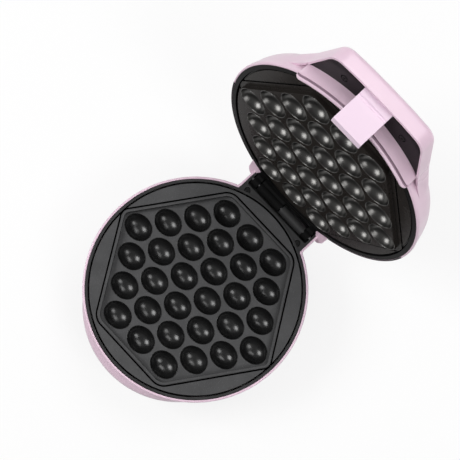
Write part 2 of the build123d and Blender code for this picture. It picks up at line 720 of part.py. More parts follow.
def reflector(frame, level):
    """A dished sheet under a plate, with a short rim towards it."""
    with BuildPart() as sheet:
        with BuildSketch(frame.offset(level)):
            Circle(REFLECTOR_RADIUS)
            with Locations(*POST_SPOTS):
                Circle(SCREW_RADIUS + 0.1, mode=Mode.SUBTRACT)
        extrude(amount=REFLECTOR_THICKNESS)
        with BuildSketch(frame.offset(level)):
            Circle(REFLECTOR_RADIUS)
            Circle(REFLECTOR_RADIUS - REFLECTOR_THICKNESS, mode=Mode.SUBTRACT)
        extrude(amount=-1)
    return sheet.part


def screws(seat, spots, length):
    """Screws with their heads on a seat plane; its Z points out of the heads."""
    with BuildPart() as group:
        with BuildSketch(seat):
            with Locations(*spots):
                Circle(SCREW_HEAD_RADIUS)
        extrude(amount=SCREW_HEAD_HEIGHT, taper=12)
        with BuildSketch(seat.offset(SCREW_HEAD_HEIGHT)):
            with Locations(*spots):
                Rectangle(3, 0.8)
                Rectangle(0.8, 3)
        extrude(amount=-1, mode=Mode.SUBTRACT)
        with BuildSketch(seat):
            with Locations(*spots):
                Circle(SCREW_RADIUS)
        extrude(amount=-length)
    return group.part


with BuildPart() as lower_plate:
    add(baking_plate(DOWN, LOWER_PLATE_RADIUS, LOWER_FIELD, LOWER_HEATER_LEVEL, LOWER_REFLECTOR_LEVEL))

with BuildPart() as upper_plate:
    add(baking_plate(LID, UPPER_PLATE_RADIUS, UPPER_FIELD, UPPER_HEATER_LEVEL, UPPER_REFLECTOR_LEVEL))

with BuildPart() as lower_heater:
    add(heater(DOWN, LOWER_HEATER_LEVEL))

with BuildPart() as upper_heater:
    add(heater(LID, UPPER_HEATER_LEVEL))

with BuildPart() as lower_reflector:
    add(reflector(DOWN, LOWER_REFLECTOR_LEVEL))

with BuildPart() as upper_reflector:
    add(reflector(LID, UPPER_REFLECTOR_LEVEL))

PLATE_SCREW_SEAT = LEDGE_LEVEL + LEDGE_THICKNESS
with BuildPart() as lower_plate_screws:
    add(screws(DOWN.offset(PLATE_SCREW_SEAT), BOSS_SPOTS, 9))

with BuildPart() as upper_plate_screws:
    add(screws(LID.offset(PLATE_SCREW_SEAT), BOSS_SPOTS, 9))

with BuildPart() as lower_reflector_screws:
    add(screws(DOWN.offset(LOWER_REFLECTOR_LEVEL + REFLECTOR_THICKNESS), POST_SPOTS, 5))

with BuildPart() as upper_reflector_screws:
    add(screws(LID.offset(UPPER_REFLECTOR_LEVEL + REFLECTOR_THICKNESS), POST_SPOTS, 5))

with BuildPart() as bottom_cover_screws:
    add(screws(DOWN.offset(BASE_DEPTH), [(x, -y) for x, y in COVER_SCREW_SPOTS], 14))

with BuildPart() as trim_screws:
    add(screws(UP.offset(APRON_TOP - 3), TRIM_SCREW_SPOTS, 18))

INTO_LID = Plane(LID.origin, x_dir=LID.x_dir, z_dir=-LID.z_dir)
with BuildPart() as handle_screws:
    add(screws(INTO_LID.offset(-PANEL_BACK), [(x, -y) for x, y in HANDLE_SCREW_SPOTS], 9))


# The handle's cover panel, its lamps and the latch
with BuildPart() as handle_cover:
    with BuildSketch(LID.offset(PANEL_LEVEL)):
        add(handle_plan(HANDLE_WALL + 0.3))
        Circle(RIDGE_OUTER + 0.3, mode=Mode.SUBTRACT)
        with Locations((0, LATCH_Y - 1)):
            Rectangle(2 * LATCH_HALF + 1.2, 10, mode=Mode.SUBTRACT)
    extrude(amount=PANEL_THICKNESS)
    with BuildSketch(LID.offset(PANEL_LEVEL)):
        with Locations(*HANDLE_SCREW_SPOTS):
            Circle(4.4)
    extrude(amount=SCREW_WELL_TOP - PANEL_LEVEL)
    with BuildSketch(LID.offset(PANEL_LEVEL)):
        with Locations(*HANDLE_SCREW_SPOTS):
            Circle(3.4)
    extrude(amount=PANEL_THICKNESS, mode=Mode.SUBTRACT)
    with BuildSketch(LID.offset(PANEL_LEVEL)):
        with Locations(*HANDLE_SCREW_SPOTS):
            Circle(SCREW_RADIUS + 0.1)
    extrude(amount=5, mode=Mode.SUBTRACT)


def lamp_lens(spot):
    """A small window that sits in the handle's roof."""
    with BuildPart() as lens:
        with BuildSketch(LID.offset(HANDLE_TOP - HANDLE_WALL - 1.2)):
            with Locations(spot):
                RectangleRounded(14, 6.6, 2)
        extrude(amount=1.15)
        with BuildSketch(LID.offset(HANDLE_TOP - HANDLE_WALL - 1)):
            with Locations(spot):
                RectangleRounded(11.8, 4.4, 1.1)
        extrude(amount=HANDLE_WALL + 1.4)
    return lens.part


with BuildPart() as power_lamp_lens:
    add(lamp_lens(LAMP_SPOTS[0]))

with BuildPart() as ready_lamp_lens:
    add(lamp_lens(LAMP_SPOTS[1]))

with BuildPart() as indicator_lamps:
    with BuildSketch(LID.offset(HANDLE_TOP - HANDLE_WALL - 1.2)):
        with Locations(*LAMP_SPOTS):
            Circle(2.5)
    extrude(amount=-9)

with BuildPart() as latch_pin:
    with BuildSketch(side(LID, -19.4)):
        with Locations((LATCH_Y, LATCH_LEVEL)):
            Circle(LATCH_PIN_RADIUS)
    extrude(amount=38.8)


def flap_point(along, out):
    """A point of the latch's section, along the flap and out from its pin."""
    c, s = cos(radians(LATCH_TILT)), sin(radians(LATCH_TILT))
    return (LATCH_Y + along * s - out * c, LATCH_LEVEL - along * c - out * s)


FLAP_END = (LATCH_LEVEL - HOOK_LEVEL) / cos(radians(LATCH_TILT))
with BuildPart() as latch:
    with BuildSketch(side(LID, -LATCH_HALF)):
        with Locations((LATCH_Y, LATCH_LEVEL)):
            Circle(LATCH_KNUCKLE)
        Polygon(flap_point(0, LATCH_KNUCKLE), flap_point(LATCH_STEP, LATCH_KNUCKLE),
                flap_point(LATCH_STEP, -0.6), flap_point(0, -0.6), align=None)
        Polygon(flap_point(LATCH_STEP - 1, FLAP_OUTER), flap_point(LATCH_LENGTH, FLAP_OUTER),
                flap_point(LATCH_LENGTH, FLAP_INNER), flap_point(LATCH_STEP - 1, FLAP_INNER), align=None)
        Polygon(flap_point(FLAP_END, 1.4), (HOOK_REACH_Y, HOOK_LEVEL),
                (HOOK_REACH_Y, HOOK_LEVEL - 1.6), (HOOK_REACH_Y - 1.2, HOOK_LEVEL - 2.8),
                (-124.2, HOOK_LEVEL - 2.4), align=None)
    extrude(amount=2 * LATCH_HALF)
    with BuildSketch(side(LID, -LATCH_HALF - 1)):
        with Locations((LATCH_Y, LATCH_LEVEL)):
            Circle(LATCH_PIN_RADIUS + RUNNING_GAP)
    extrude(amount=2 * LATCH_HALF + 2, mode=Mode.SUBTRACT)


# The electrical parts
def terminal_pins(frame, level):
    """The two pins that stand out of a heating element's ends."""
    with BuildPart() as pins:
        for hand in (-1, 1):
            angle = radians(90 + hand * HEATER_GAP_ANGLE / 2)
            end = frame.from_local_coords((HEATER_CIRCLE * cos(angle), HEATER_CIRCLE * sin(angle), level))
            along = frame.x_dir * (hand * sin(angle)) - frame.y_dir * (hand * cos(angle))
            with BuildSketch(Plane(end, z_dir=along)):
                Circle(HEATER_PIN_RADIUS)
            extrude(amount=HEATER_PIN_LENGTH)
    return pins.part


with BuildPart() as lower_heater_terminals:
    add(terminal_pins(DOWN, LOWER_HEATER_LEVEL))

with BuildPart() as upper_heater_terminals:
    add(terminal_pins(LID, UPPER_HEATER_LEVEL))

with BuildPart() as thermostat:
    with BuildSketch(DOWN.offset(LOWER_REFLECTOR_LEVEL + REFLECTOR_THICKNESS)):
        Circle(9)
    extrude(amount=2)
    with BuildSketch(DOWN.offset(LOWER_REFLECTOR_LEVEL + REFLECTOR_THICKNESS + 2)):
        Circle(7.5)
    extrude(amount=6)
    with BuildSketch(DOWN.offset(LOWER_REFLECTOR_LEVEL + REFLECTOR_THICKNESS + 8)):
        with Locations((-4, 0), (4, 0)):
            Rectangle(0.8, 5)
    extrude(amount=7)

with BuildPart() as thermal_fuse:
    with BuildSketch(side(LID, -7)):
        with Locations((16, UPPER_REFLECTOR_LEVEL + REFLECTOR_THICKNESS + 3)):
            Circle(3)
    extrude(amount=14)
    with BuildSketch(side(LID, -16)):
        with Locations((16, UPPER_REFLECTOR_LEVEL + REFLECTOR_THICKNESS + 3)):
            Circle(0.7)
    extrude(amount=32)

with BuildPart() as terminal_block:
    with BuildSketch(UP.offset(COVER_TOP)):
        with Locations((0, 70)):
            Rectangle(32, 16)
    extrude(amount=13)
    with BuildSketch(UP.offset(COVER_TOP + 13)):
        with GridLocations(10, 8, 3, 2):
            with Locations((0, 70)):
                Circle(2)
    extrude(amount=-4, mode=Mode.SUBTRACT)

with BuildPart() as cord_gland:
    with BuildSketch(Plane((0, BLOCK_BACK + 3, RIM_HEIGHT + CABLE_LEVEL), z_dir=(0, -1, 0))):
        Circle(8.4)
    extrude(amount=2.95)
    with BuildSketch(Plane((0, BLOCK_BACK + 1, RIM_HEIGHT + CABLE_LEVEL), z_dir=(0, -1, 0))):
        Circle(5.55)
    extrude(amount=4)
    with BuildSketch(Plane((0, BLOCK_BACK - BLOCK_WALL - 0.05, RIM_HEIGHT + CABLE_LEVEL), z_dir=(0, -1, 0))):
        Circle(7.6)
    extrude(amount=3)
    with BuildSketch(Plane((0, BLOCK_BACK + 4, RIM_HEIGHT + CABLE_LEVEL), z_dir=(0, -1, 0))):
        Circle(3.4)
    extrude(amount=12, mode=Mode.SUBTRACT)


NODES = {
    "base_shell": base_shell,
    "base_bottom_cover": base_bottom_cover,
    "base_feet": base_feet,
    "bottom_cover_screws": bottom_cover_screws,
    "base_trim_ring": base_trim_ring,
    "trim_screws": trim_screws,
    "lower_plate": lower_plate,
    "lower_plate_screws": lower_plate_screws,
    "lower_heater": lower_heater,
    "lower_heater_terminals": lower_heater_terminals,
    "lower_reflector": lower_reflector,
    "lower_reflector_screws": lower_reflector_screws,
    "thermostat": thermostat,
    "terminal_block": terminal_block,
    "cord_gland": cord_gland,
    "hinge_pin": hinge_pin,
    "base_hinge_barrel": base_hinge_barrel,
    "lid_shell": lid_shell,
    "lid_trim_ring": lid_trim_ring,
    "upper_plate": upper_plate,
    "upper_plate_screws": upper_plate_screws,
    "upper_heater": upper_heater,
    "upper_heater_terminals": upper_heater_terminals,
    "upper_reflector": upper_reflector,
    "upper_reflector_screws": upper_reflector_screws,
    "thermal_fuse": thermal_fuse,
    "handle_cover": handle_cover,
    "handle_screws": handle_screws,
    "power_lamp_lens": power_lamp_lens,
    "ready_lamp_lens": ready_lamp_lens,
    "indicator_lamps": indicator_lamps,
    "latch_pin": latch_pin,
    "latch": latch,
}

os.makedirs("parts", exist_ok=True)
for name, node in NODES.items():
    node.part.label = name
    export_step(node.part, f"parts/{name}.step")
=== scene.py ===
import json
import math

import bmesh
import bpy
from mathutils import Matrix, Vector


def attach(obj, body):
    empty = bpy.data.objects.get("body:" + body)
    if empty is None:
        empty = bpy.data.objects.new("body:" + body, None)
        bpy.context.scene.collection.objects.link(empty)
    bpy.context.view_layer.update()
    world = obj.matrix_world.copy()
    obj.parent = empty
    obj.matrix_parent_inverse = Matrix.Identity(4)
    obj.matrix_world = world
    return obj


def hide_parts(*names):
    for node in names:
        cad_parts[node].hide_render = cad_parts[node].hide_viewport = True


bl_info = {
    "name": "Bubble Waffle Maker",
    "version": (1, 0, 0),
    "blender": (4, 5, 0),
    "location": "View3D > Sidebar > Waffle",
    "description": "Dresses a hinged bubble waffle maker with smooth cases, coated plates and a studio",
    "category": "Object",
}

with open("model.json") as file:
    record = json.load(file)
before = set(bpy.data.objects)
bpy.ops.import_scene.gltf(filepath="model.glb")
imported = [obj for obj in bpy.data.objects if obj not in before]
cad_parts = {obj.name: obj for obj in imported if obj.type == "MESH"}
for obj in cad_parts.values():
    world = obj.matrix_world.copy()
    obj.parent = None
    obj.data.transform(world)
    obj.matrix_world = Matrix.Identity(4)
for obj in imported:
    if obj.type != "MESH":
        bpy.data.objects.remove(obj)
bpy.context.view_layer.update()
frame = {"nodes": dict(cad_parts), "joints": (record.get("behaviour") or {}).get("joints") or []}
NODES = frame["nodes"]

# The hinge, and the rim's height over the table
HINGE_AXIS = Vector(frame["joints"][0]["pos_m"])
OPEN_ANGLE = math.radians(frame["joints"][0]["range_deg"][1])
RIM_HEIGHT = 60.0
MM = 0.001
TURN = 2 * math.pi
PAIR_GAP = 0.0012          # radians to either side of a break in an outline

# The base's case, in millimetres; heights are taken from the rim
RIM_GAP = 0.2
BASE_RADIUS = 113.0
BASE_WALL = 2.4
BASE_FLOOR = -56.0
BULGE_TOP = -9
BOWL_CURVE = ((BASE_RADIUS, BULGE_TOP), (BASE_RADIUS, -30), (108, -44), (98, BASE_FLOOR))
BULGE_CURVES = (((89.4, BULGE_TOP), (94.5, -12.5), (97.5, -16), (97.5, -21)),
                ((97.5, -21), (97.5, -34), (91, -46), (83, BASE_FLOOR)))
BULGE_CENTRE = -23.5
BLOCK_HALF = 46.9
BLOCK_BACK = 131.0
BLOCK_ROOT = 101           # where the block's sides leave the bowl
BLOCK_WALL = 2.2
STEP_HALF = 43.0
STEP_LEVEL = -4.5

# The lid's case; heights are taken from the parting plane, away from the mouth
LID_RADIUS = 112.0
DOME_TOP = 41.5
DOME_SIDE = ((109.7, 12), (107.8, 22), (104, 32.5), (90, 37.5))
DOME_CROWN = ((90, 37.5), (77.5, DOME_TOP), (30, DOME_TOP), (0, DOME_TOP))
LID_WALL = 2.2
HANDLE_TOP = 26.7
HANDLE_UNDERSIDE = 8.0
HANDLE_WALL = 2.6
HANDLE_ROOF = 17.5         # of the hollow over the cover panel
HANDLE_FROM = -0.42        # the handle and the hump each fill a sector, from this sine of the angle on
HUMP_FROM = 0.8
PANEL_BACK = 11.0
HUMP_TOP = 24.0
HUMP_BACK = 124.5
HUMP_REACH = 112.4         # the hump's outline stands past the dome from here on
EDGE_ROUND = 6.0
RIDGE_OUTER = 116.0
RIDGE_INNER = 113.6
RIDGE_HALF = 66.0
NOTCH_HALF = 47.5          # the notch in the hump that clears the hinge block
NOTCH_LEVEL = 12.5
STRIP_SECTION = ((110.3, 0.1), (110.9, 0.1), (111.1, 0.13), (111.58, 0.33), (111.94, 0.76), (112.1, 1.4),
                 (112.05, 1.5), (111.9, 1.4), (111.76, 0.86), (111.45, 0.48), (111.0, 0.3), (110.3, 0.3))
STRIP_ARCS = (("rim_strip_right", 4, 60.5), ("rim_strip_left", 119.5, 176))   # degrees from +X
STRIP_STEPS = 160

# The cavities
PITCH_X = 33.83
PITCH_Y = 24.91
CUP_HALF_LENGTH = 15.1
CUP_RADIUS = 12.5
CUP_RISE = 1.5
LOWER_FIELD = -5.9
UPPER_FIELD = -3.4
CUP_SIDES = 56
CUP_SWEEP = 76             # degrees of the bowl's arc, from its bottom
LIP_PROFILE = ((0.02, -2.2), (0.08, -1.2), (0.18, -0.2), (0.3, 0.6), (0.44, 1.0), (0.58, 0.9), (0.7, 0.4),
               (0.76, -0.4))    # outwards from the mouth in millimetres, and the share of the lip's height

# The latch and its catch
LATCH_PIN = (-133.3, 13.0)
LATCH_TILT = math.radians(16)
LATCH_LENGTH = 38.2
LATCH_HALF = 15.7
LATCH_KNUCKLE = 2.6
HOOK_LEVEL = -21.6
HOOK_REACH = -117.5
CATCH_HALF = 17.3
CATCH_LEVEL = -21.0
CATCH_FOOT = -29.8
CATCH_CUT = (-126, -116)   # front and back of the opening, then of the pocket behind it
POCKET = (-119.2, -115.6)
POCKET_WALL = 0.0015
LATCH_ROUND = 0.0006

# The studio, in metres and watts
CAMERA_TARGET = Vector((-0.0193, 0.065, 0.060))
SENSOR_WIDTH = 36
FLOOR_HALF = 1.6
WHITE_NEAR, WHITE_FAR = (0.3, 0.8), (1.1, 1.0)     # distance from the part, and the share of plain white
LAMPS = (("key", (-1.16, -0.756, 1.335), (0, 0.08, 0.1), 0.9, 20),
         ("fill", (1.1, 0.1, 1.3), (0, 0.05, 0.05), 0.7, 7.5),
         ("back", (-0.1, 1.35, 1.75), (0, 0.1, 0.1), 1.2, 16))     # name, place, aim, width, power
SKY = ((0.0, 1.0), (0.02, 0.5), (0.16, 0.05), (0.5, 0.08), (0.7, 0.32), (1.0, 0.32))   # height, level


# Small geometry helpers
def base_at(x, y, z):
    """A point of the base, in metres in the row frame."""
    return Vector((x, y, z + RIM_HEIGHT)) * MM


def lid_at(x, y, w):
    """A point of the lid, given as if it were shut, where it stands when open."""
    p = Vector((x, y, w + RIM_HEIGHT)) * MM - HINGE_AXIS
    return HINGE_AXIS + Matrix.Rotation(-OPEN_ANGLE, 3, "X") @ p


def clamp(value, low=0.0, high=1.0):
    return max(low, min(high, value))


def ease(value):
    """A smooth step from 0 to 1."""
    t = clamp(value)
    return t * t * (3 - 2 * t)


def blend_max(a, b, width):
    """The larger of two radii, with a fillet where they cross."""
    return max(a, b) + max(width - abs(a - b), 0) ** 2 / (4 * width)


def bezier(points, count):
    """Points along a cubic curve."""
    a, b, c, d = (Vector(p) for p in points)
    spots = []
    for i in range(count + 1):
        t = i / count
        spots.append(a * (1 - t) ** 3 + b * 3 * t * (1 - t) ** 2 + c * 3 * t * t * (1 - t) + d * t ** 3)
    return spots


def lookup(table, value):
    """Reads a table of (key, result) rows sorted by falling key."""
    for (k0, v0), (k1, v1) in zip(table, table[1:]):
        if value >= k1:
            return v0 + (v1 - v0) * clamp((value - k0) / (k1 - k0) if k1 != k0 else 0)
    return table[-1][1]


BOWL = [(0.0, BASE_RADIUS)] + [(p.y, p.x) for p in bezier(BOWL_CURVE, 24)]
BULGE = [(p.y, p.x) for curve in BULGE_CURVES for p in bezier(curve, 16)]
DOME_LINE = list(reversed([(p.y, p.x) for p in bezier(DOME_SIDE, 24)]))
DOME = DOME_LINE + [(3.0, LID_RADIUS), (RIM_GAP, LID_RADIUS)]
CROWN = sorted(((p.x, p.y) for p in bezier(DOME_CROWN, 24) + bezier(DOME_SIDE, 24)), reverse=True)


def rounded(corners):
    """A closed outline from (x, y, radius) corners."""
    spots = []
    for i, (x, y, radius) in enumerate(corners):
        here = Vector((x, y))
        before = (Vector(corners[i - 1][:2]) - here).normalized()
        after = (Vector(corners[(i + 1) % len(corners)][:2]) - here).normalized()
        if not radius:
            spots.append(here)
            continue
        half = before.angle(after) / 2
        centre = here + (before + after).normalized() * (radius / math.sin(half))
        first = here + before * (radius / math.tan(half)) - centre
        sweep = first.angle_signed(here + after * (radius / math.tan(half)) - centre)
        for k in range(9):
            turn = Matrix.Rotation(-sweep * k / 8, 2)
            spots.append(centre + turn @ first)
    return spots


def reach(outline, angle):
    """How far an outline reaches from the origin along a direction."""
    c, s = math.cos(angle), math.sin(angle)
    best = 0.0
    for a, b in zip(outline, outline[1:] + outline[:1]):
        da, db = a.y * c - a.x * s, b.y * c - b.x * s
        if da * db <= 0 and da != db:
            p = a + (b - a) * (da / (da - db))
            best = max(best, p.x * c + p.y * s)
    return best


def mirrored(points):
    """Corners given for x above zero, completed on the other side."""
    return list(points) + [(-x, y, r) for x, y, r in reversed(points) if x]


HANDLE_PLAN = rounded(mirrored([(0, -139.8, 0), (25, -139.2, 0), (50, -137.2, 14), (66.5, -97, 26),
                                (81, -70.5, 12), (70, -50, 0)]))
HUMP_PLAN = rounded(mirrored([(0, HUMP_BACK, 0), (49.8, HUMP_BACK, 3), (54, 116, 5), (54.5, 70, 0)]))


def block_plan(inset):
    """The hinge block's outline; its corners keep their common centres."""
    half, back = BLOCK_HALF - inset, BLOCK_BACK - inset
    return rounded(mirrored([(0, back, 0), (half, back, 7 - inset), (half, 60, 0)]))


def directions(breaks, step=0.75):
    """Angles around a case, with a close pair at every break."""
    angles = [math.radians(step) * i for i in range(round(360 / step))]
    for angle in breaks:
        angles += [(angle - PAIR_GAP) % TURN, (angle + PAIR_GAP) % TURN]
    return sorted(set(angles))


def grid_object(name, rows, place, closed=False):
    """A mesh from rows of points around an axis, bridged row to row; a fourth value is its painted shade."""
    mesh = bpy.data.meshes.new(name)
    count = len(rows[0])
    points = [place(*p[:3]) for row in rows for p in row]
    faces = []
    last = len(rows) if closed else len(rows) - 1
    for r in range(last):
        below, above = r * count, (r + 1) % len(rows) * count
        for i in range(count):
            j = (i + 1) % count
            faces.append((below + i, below + j, above + j, above + i))
    mesh.from_pydata(points, [], faces)
    shade = mesh.attributes.new("shade", "FLOAT", "POINT")
    shade.data.foreach_set("value", [p[3] if len(p) > 3 else 0.0 for row in rows for p in row])
    return finish_mesh(name, mesh)


def add_object(name, data):
    """A new object in the scene."""
    piece = bpy.data.objects.new(name, data)
    bpy.context.scene.collection.objects.link(piece)
    return piece


def finish_mesh(name, mesh, merge=0.00001, sharp=38.0):
    """Welds a mesh, turns its faces outwards and shades it smooth between sharp edges."""
    work = bmesh.new()
    work.from_mesh(mesh)
    bmesh.ops.remove_doubles(work, verts=work.verts, dist=merge)
    bmesh.ops.dissolve_degenerate(work, edges=work.edges, dist=merge)
    bmesh.ops.recalc_face_normals(work, faces=work.faces)
    work.to_mesh(mesh)
    work.free()
    mesh.validate()
    for face in mesh.polygons:
        face.use_smooth = True
    mesh.set_sharp_from_angle(angle=math.radians(sharp))
    return add_object(name, mesh)


def evaluated(piece, name):
    """A plain mesh object from a piece with modifiers, which is removed."""
    view = bpy.context.evaluated_depsgraph_get()
    mesh = bpy.data.meshes.new_from_object(piece.evaluated_get(view))
    bpy.data.objects.remove(piece)
    mesh.name = name
    return add_object(name, mesh)


# Shader helpers
def node_group(name, inputs, outputs):
    """An empty shader group on coordinates, with its sockets and its two end nodes."""
    group = bpy.data.node_groups.new(name, "ShaderNodeTree")
    for label, default in (("Vector", (0, 0, 0)), *inputs):
        kind = "NodeSocketVector" if isinstance(default, tuple) else "NodeSocketFloat"
        socket = group.interface.new_socket(name=label, in_out="INPUT", socket_type=kind)
        socket.default_value = default
    for label in outputs:
        group.interface.new_socket(name=label, in_out="OUTPUT", socket_type="NodeSocketFloat")
    return group, group.nodes.new("NodeGroupInput"), group.nodes.new("NodeGroupOutput")


def use_group(tree, group, vector):
    """A shared group set to work on a vector."""
    node = tree.nodes.new("ShaderNodeGroup")
    node.node_tree = group
    tree.links.new(vector, node.inputs["Vector"])
    return node


def feed(tree, socket, value):
    """Links a socket, or sets its value."""
    if isinstance(value, bpy.types.NodeSocket):
        tree.links.new(value, socket)
    else:
        socket.default_value = value


def math_node(tree, kind, a, b):
    """A Math node on two inputs, each a socket or a number."""
    node = tree.nodes.new("ShaderNodeMath")
    node.operation = kind
    for socket, value in zip(node.inputs, (a, b)):
        feed(tree, socket, value)
    return node.outputs[0]


def mix_colour(tree, amount, a, b, kind="MIX"):
    """A colour mix; each input is a socket or a value."""
    node = tree.nodes.new("ShaderNodeMix")
    node.data_type = "RGBA"
    node.blend_type = kind
    for socket, value in ((node.inputs["Factor"], amount), (node.inputs[6], a), (node.inputs[7], b)):
        feed(tree, socket, value)
    return node.outputs[2]


def texture(tree, kind, start, scale, **values):
    """A texture node on a group's vector and one of its scales, with other sockets set by name."""
    node = tree.nodes.new(kind)
    tree.links.new(start.outputs["Vector"], node.inputs["Vector"])
    tree.links.new(start.outputs[scale], node.inputs["Scale"])
    for label, value in values.items():
        node.inputs[label].default_value = value
    return node


def spread(tree, value, low, high, first=0.0, last=1.0):
    """A clamped map from one span to another."""
    node = tree.nodes.new("ShaderNodeMapRange")
    for label, given in (("Value", value), ("From Min", low), ("From Max", high), ("To Min", first),
                         ("To Max", last)):
        feed(tree, node.inputs[label], given)
    return node.outputs["Result"]


def make_grain_group():
    """Moulded or coated grain: a height, and a mask for its colour."""
    group, start, end = node_group("moulded_grain", (("Scale", 900.0), ("Patch Scale", 35.0)),
                                   ("Height", "Patches"))
    fine = texture(group, "ShaderNodeTexNoise", start, "Scale", Detail=3.0, Roughness=0.6)
    broad = texture(group, "ShaderNodeTexNoise", start, "Patch Scale", Detail=4.0, Roughness=0.55)
    group.links.new(fine.outputs["Fac"], end.inputs["Height"])
    group.links.new(spread(group, broad.outputs["Fac"], 0.3, 0.7), end.inputs["Patches"])
    return group


def make_wear_group():
    """Light scuffs where a piece's edges stand out."""
    group, start, end = node_group("edge_wear", (("Scale", 120.0), ("Low", 0.52), ("High", 0.6)), ("Mask",))
    shape = group.nodes.new("ShaderNodeNewGeometry")
    breakup = texture(group, "ShaderNodeTexNoise", start, "Scale", Detail=5.0, Roughness=0.7)
    edges = spread(group, shape.outputs["Pointiness"], start.outputs["Low"], start.outputs["High"])
    mask = math_node(group, "MULTIPLY", edges, spread(group, breakup.outputs["Fac"], 0.45, 0.6))
    group.links.new(mask, end.inputs["Mask"])
    return group


def make_speckle_group():
    """The pale fleck of a non-stick coating."""
    group, start, end = node_group("coating_fleck", (("Scale", 1400.0), ("Amount", 0.14)), ("Mask",))
    cells = texture(group, "ShaderNodeTexVoronoi", start, "Scale")
    flecks = math_node(group, "LESS_THAN", cells.outputs["Distance"], 0.32)
    chosen = group.nodes.new("ShaderNodeSeparateColor")
    group.links.new(cells.outputs["Color"], chosen.inputs["Color"])
    rare = math_node(group, "LESS_THAN", chosen.outputs["Red"], start.outputs["Amount"])
    group.links.new(math_node(group, "MULTIPLY", flecks, rare), end.inputs["Mask"])
    return group


def make_groove_group():
    """Painted shade for a plate's grooves: a mask between two depths along its axis."""
    group, start, end = node_group(
        "groove_shade", (("Axis", (0, 0, -1)), ("Mouth", 0.0), ("Top", 0.00135), ("Bottom", 0.0055)),
        ("Mask",))
    along = group.nodes.new("ShaderNodeVectorMath")
    along.operation = "DOT_PRODUCT"
    group.links.new(start.outputs["Vector"], along.inputs[0])
    group.links.new(start.outputs["Axis"], along.inputs[1])
    depth = math_node(group, "SUBTRACT", along.outputs["Value"], start.outputs["Mouth"])
    under = math_node(group, "MULTIPLY", math_node(group, "SUBTRACT", depth, start.outputs["Top"]), 3500.0)
    over = math_node(group, "MULTIPLY", math_node(group, "SUBTRACT", start.outputs["Bottom"], depth), 6000.0)
    mask = group.nodes.new("ShaderNodeClamp")
    group.links.new(math_node(group, "MINIMUM", under, over), mask.inputs["Value"])
    group.links.new(mask.outputs["Result"], end.inputs["Mask"])
    return group


GRAIN = make_grain_group()
WEAR = make_wear_group()
FLECK = make_speckle_group()
GROOVE = make_groove_group()
# painted shade: a deeper pink for the groove of the lid's ridge
RECESS_SHADE_PINK = (0.10, 0.045, 0.085, 1)
# painted shade: near black for the plates' grooves
GROOVE_SHADE_BLACK = (0.001, 0.001, 0.001, 1)
FINISHES = {}

# The CAD pieces that are shown as they are, by finish
KEPT_NODES = {
    "trim_black": ["base_trim_ring", "base_hinge_barrel"],
    "lid_trim": ["lid_trim_ring"],
    "lower_coating": ["lower_plate"],
    "upper_coating": ["upper_plate"],
    "panel_black": ["handle_cover"],
    "cover_grey": ["base_bottom_cover"],
    "foot_rubber": ["base_feet", "cord_gland"],
    "screw_black": ["trim_screws", "handle_screws"],
    "screw_steel": ["bottom_cover_screws", "lower_plate_screws", "upper_plate_screws",
                    "lower_reflector_screws", "upper_reflector_screws", "hinge_pin", "latch_pin",
                    "lower_heater_terminals", "upper_heater_terminals"],
    "heater_steel": ["lower_heater", "upper_heater"],
    "reflector_sheet": ["lower_reflector", "upper_reflector", "thermostat", "thermal_fuse"],
    "terminal_white": ["terminal_block"],
    "lens_red": ["power_lamp_lens"],
    "lens_green": ["ready_lamp_lens"],
    "lamp_glass": ["indicator_lamps"],
}


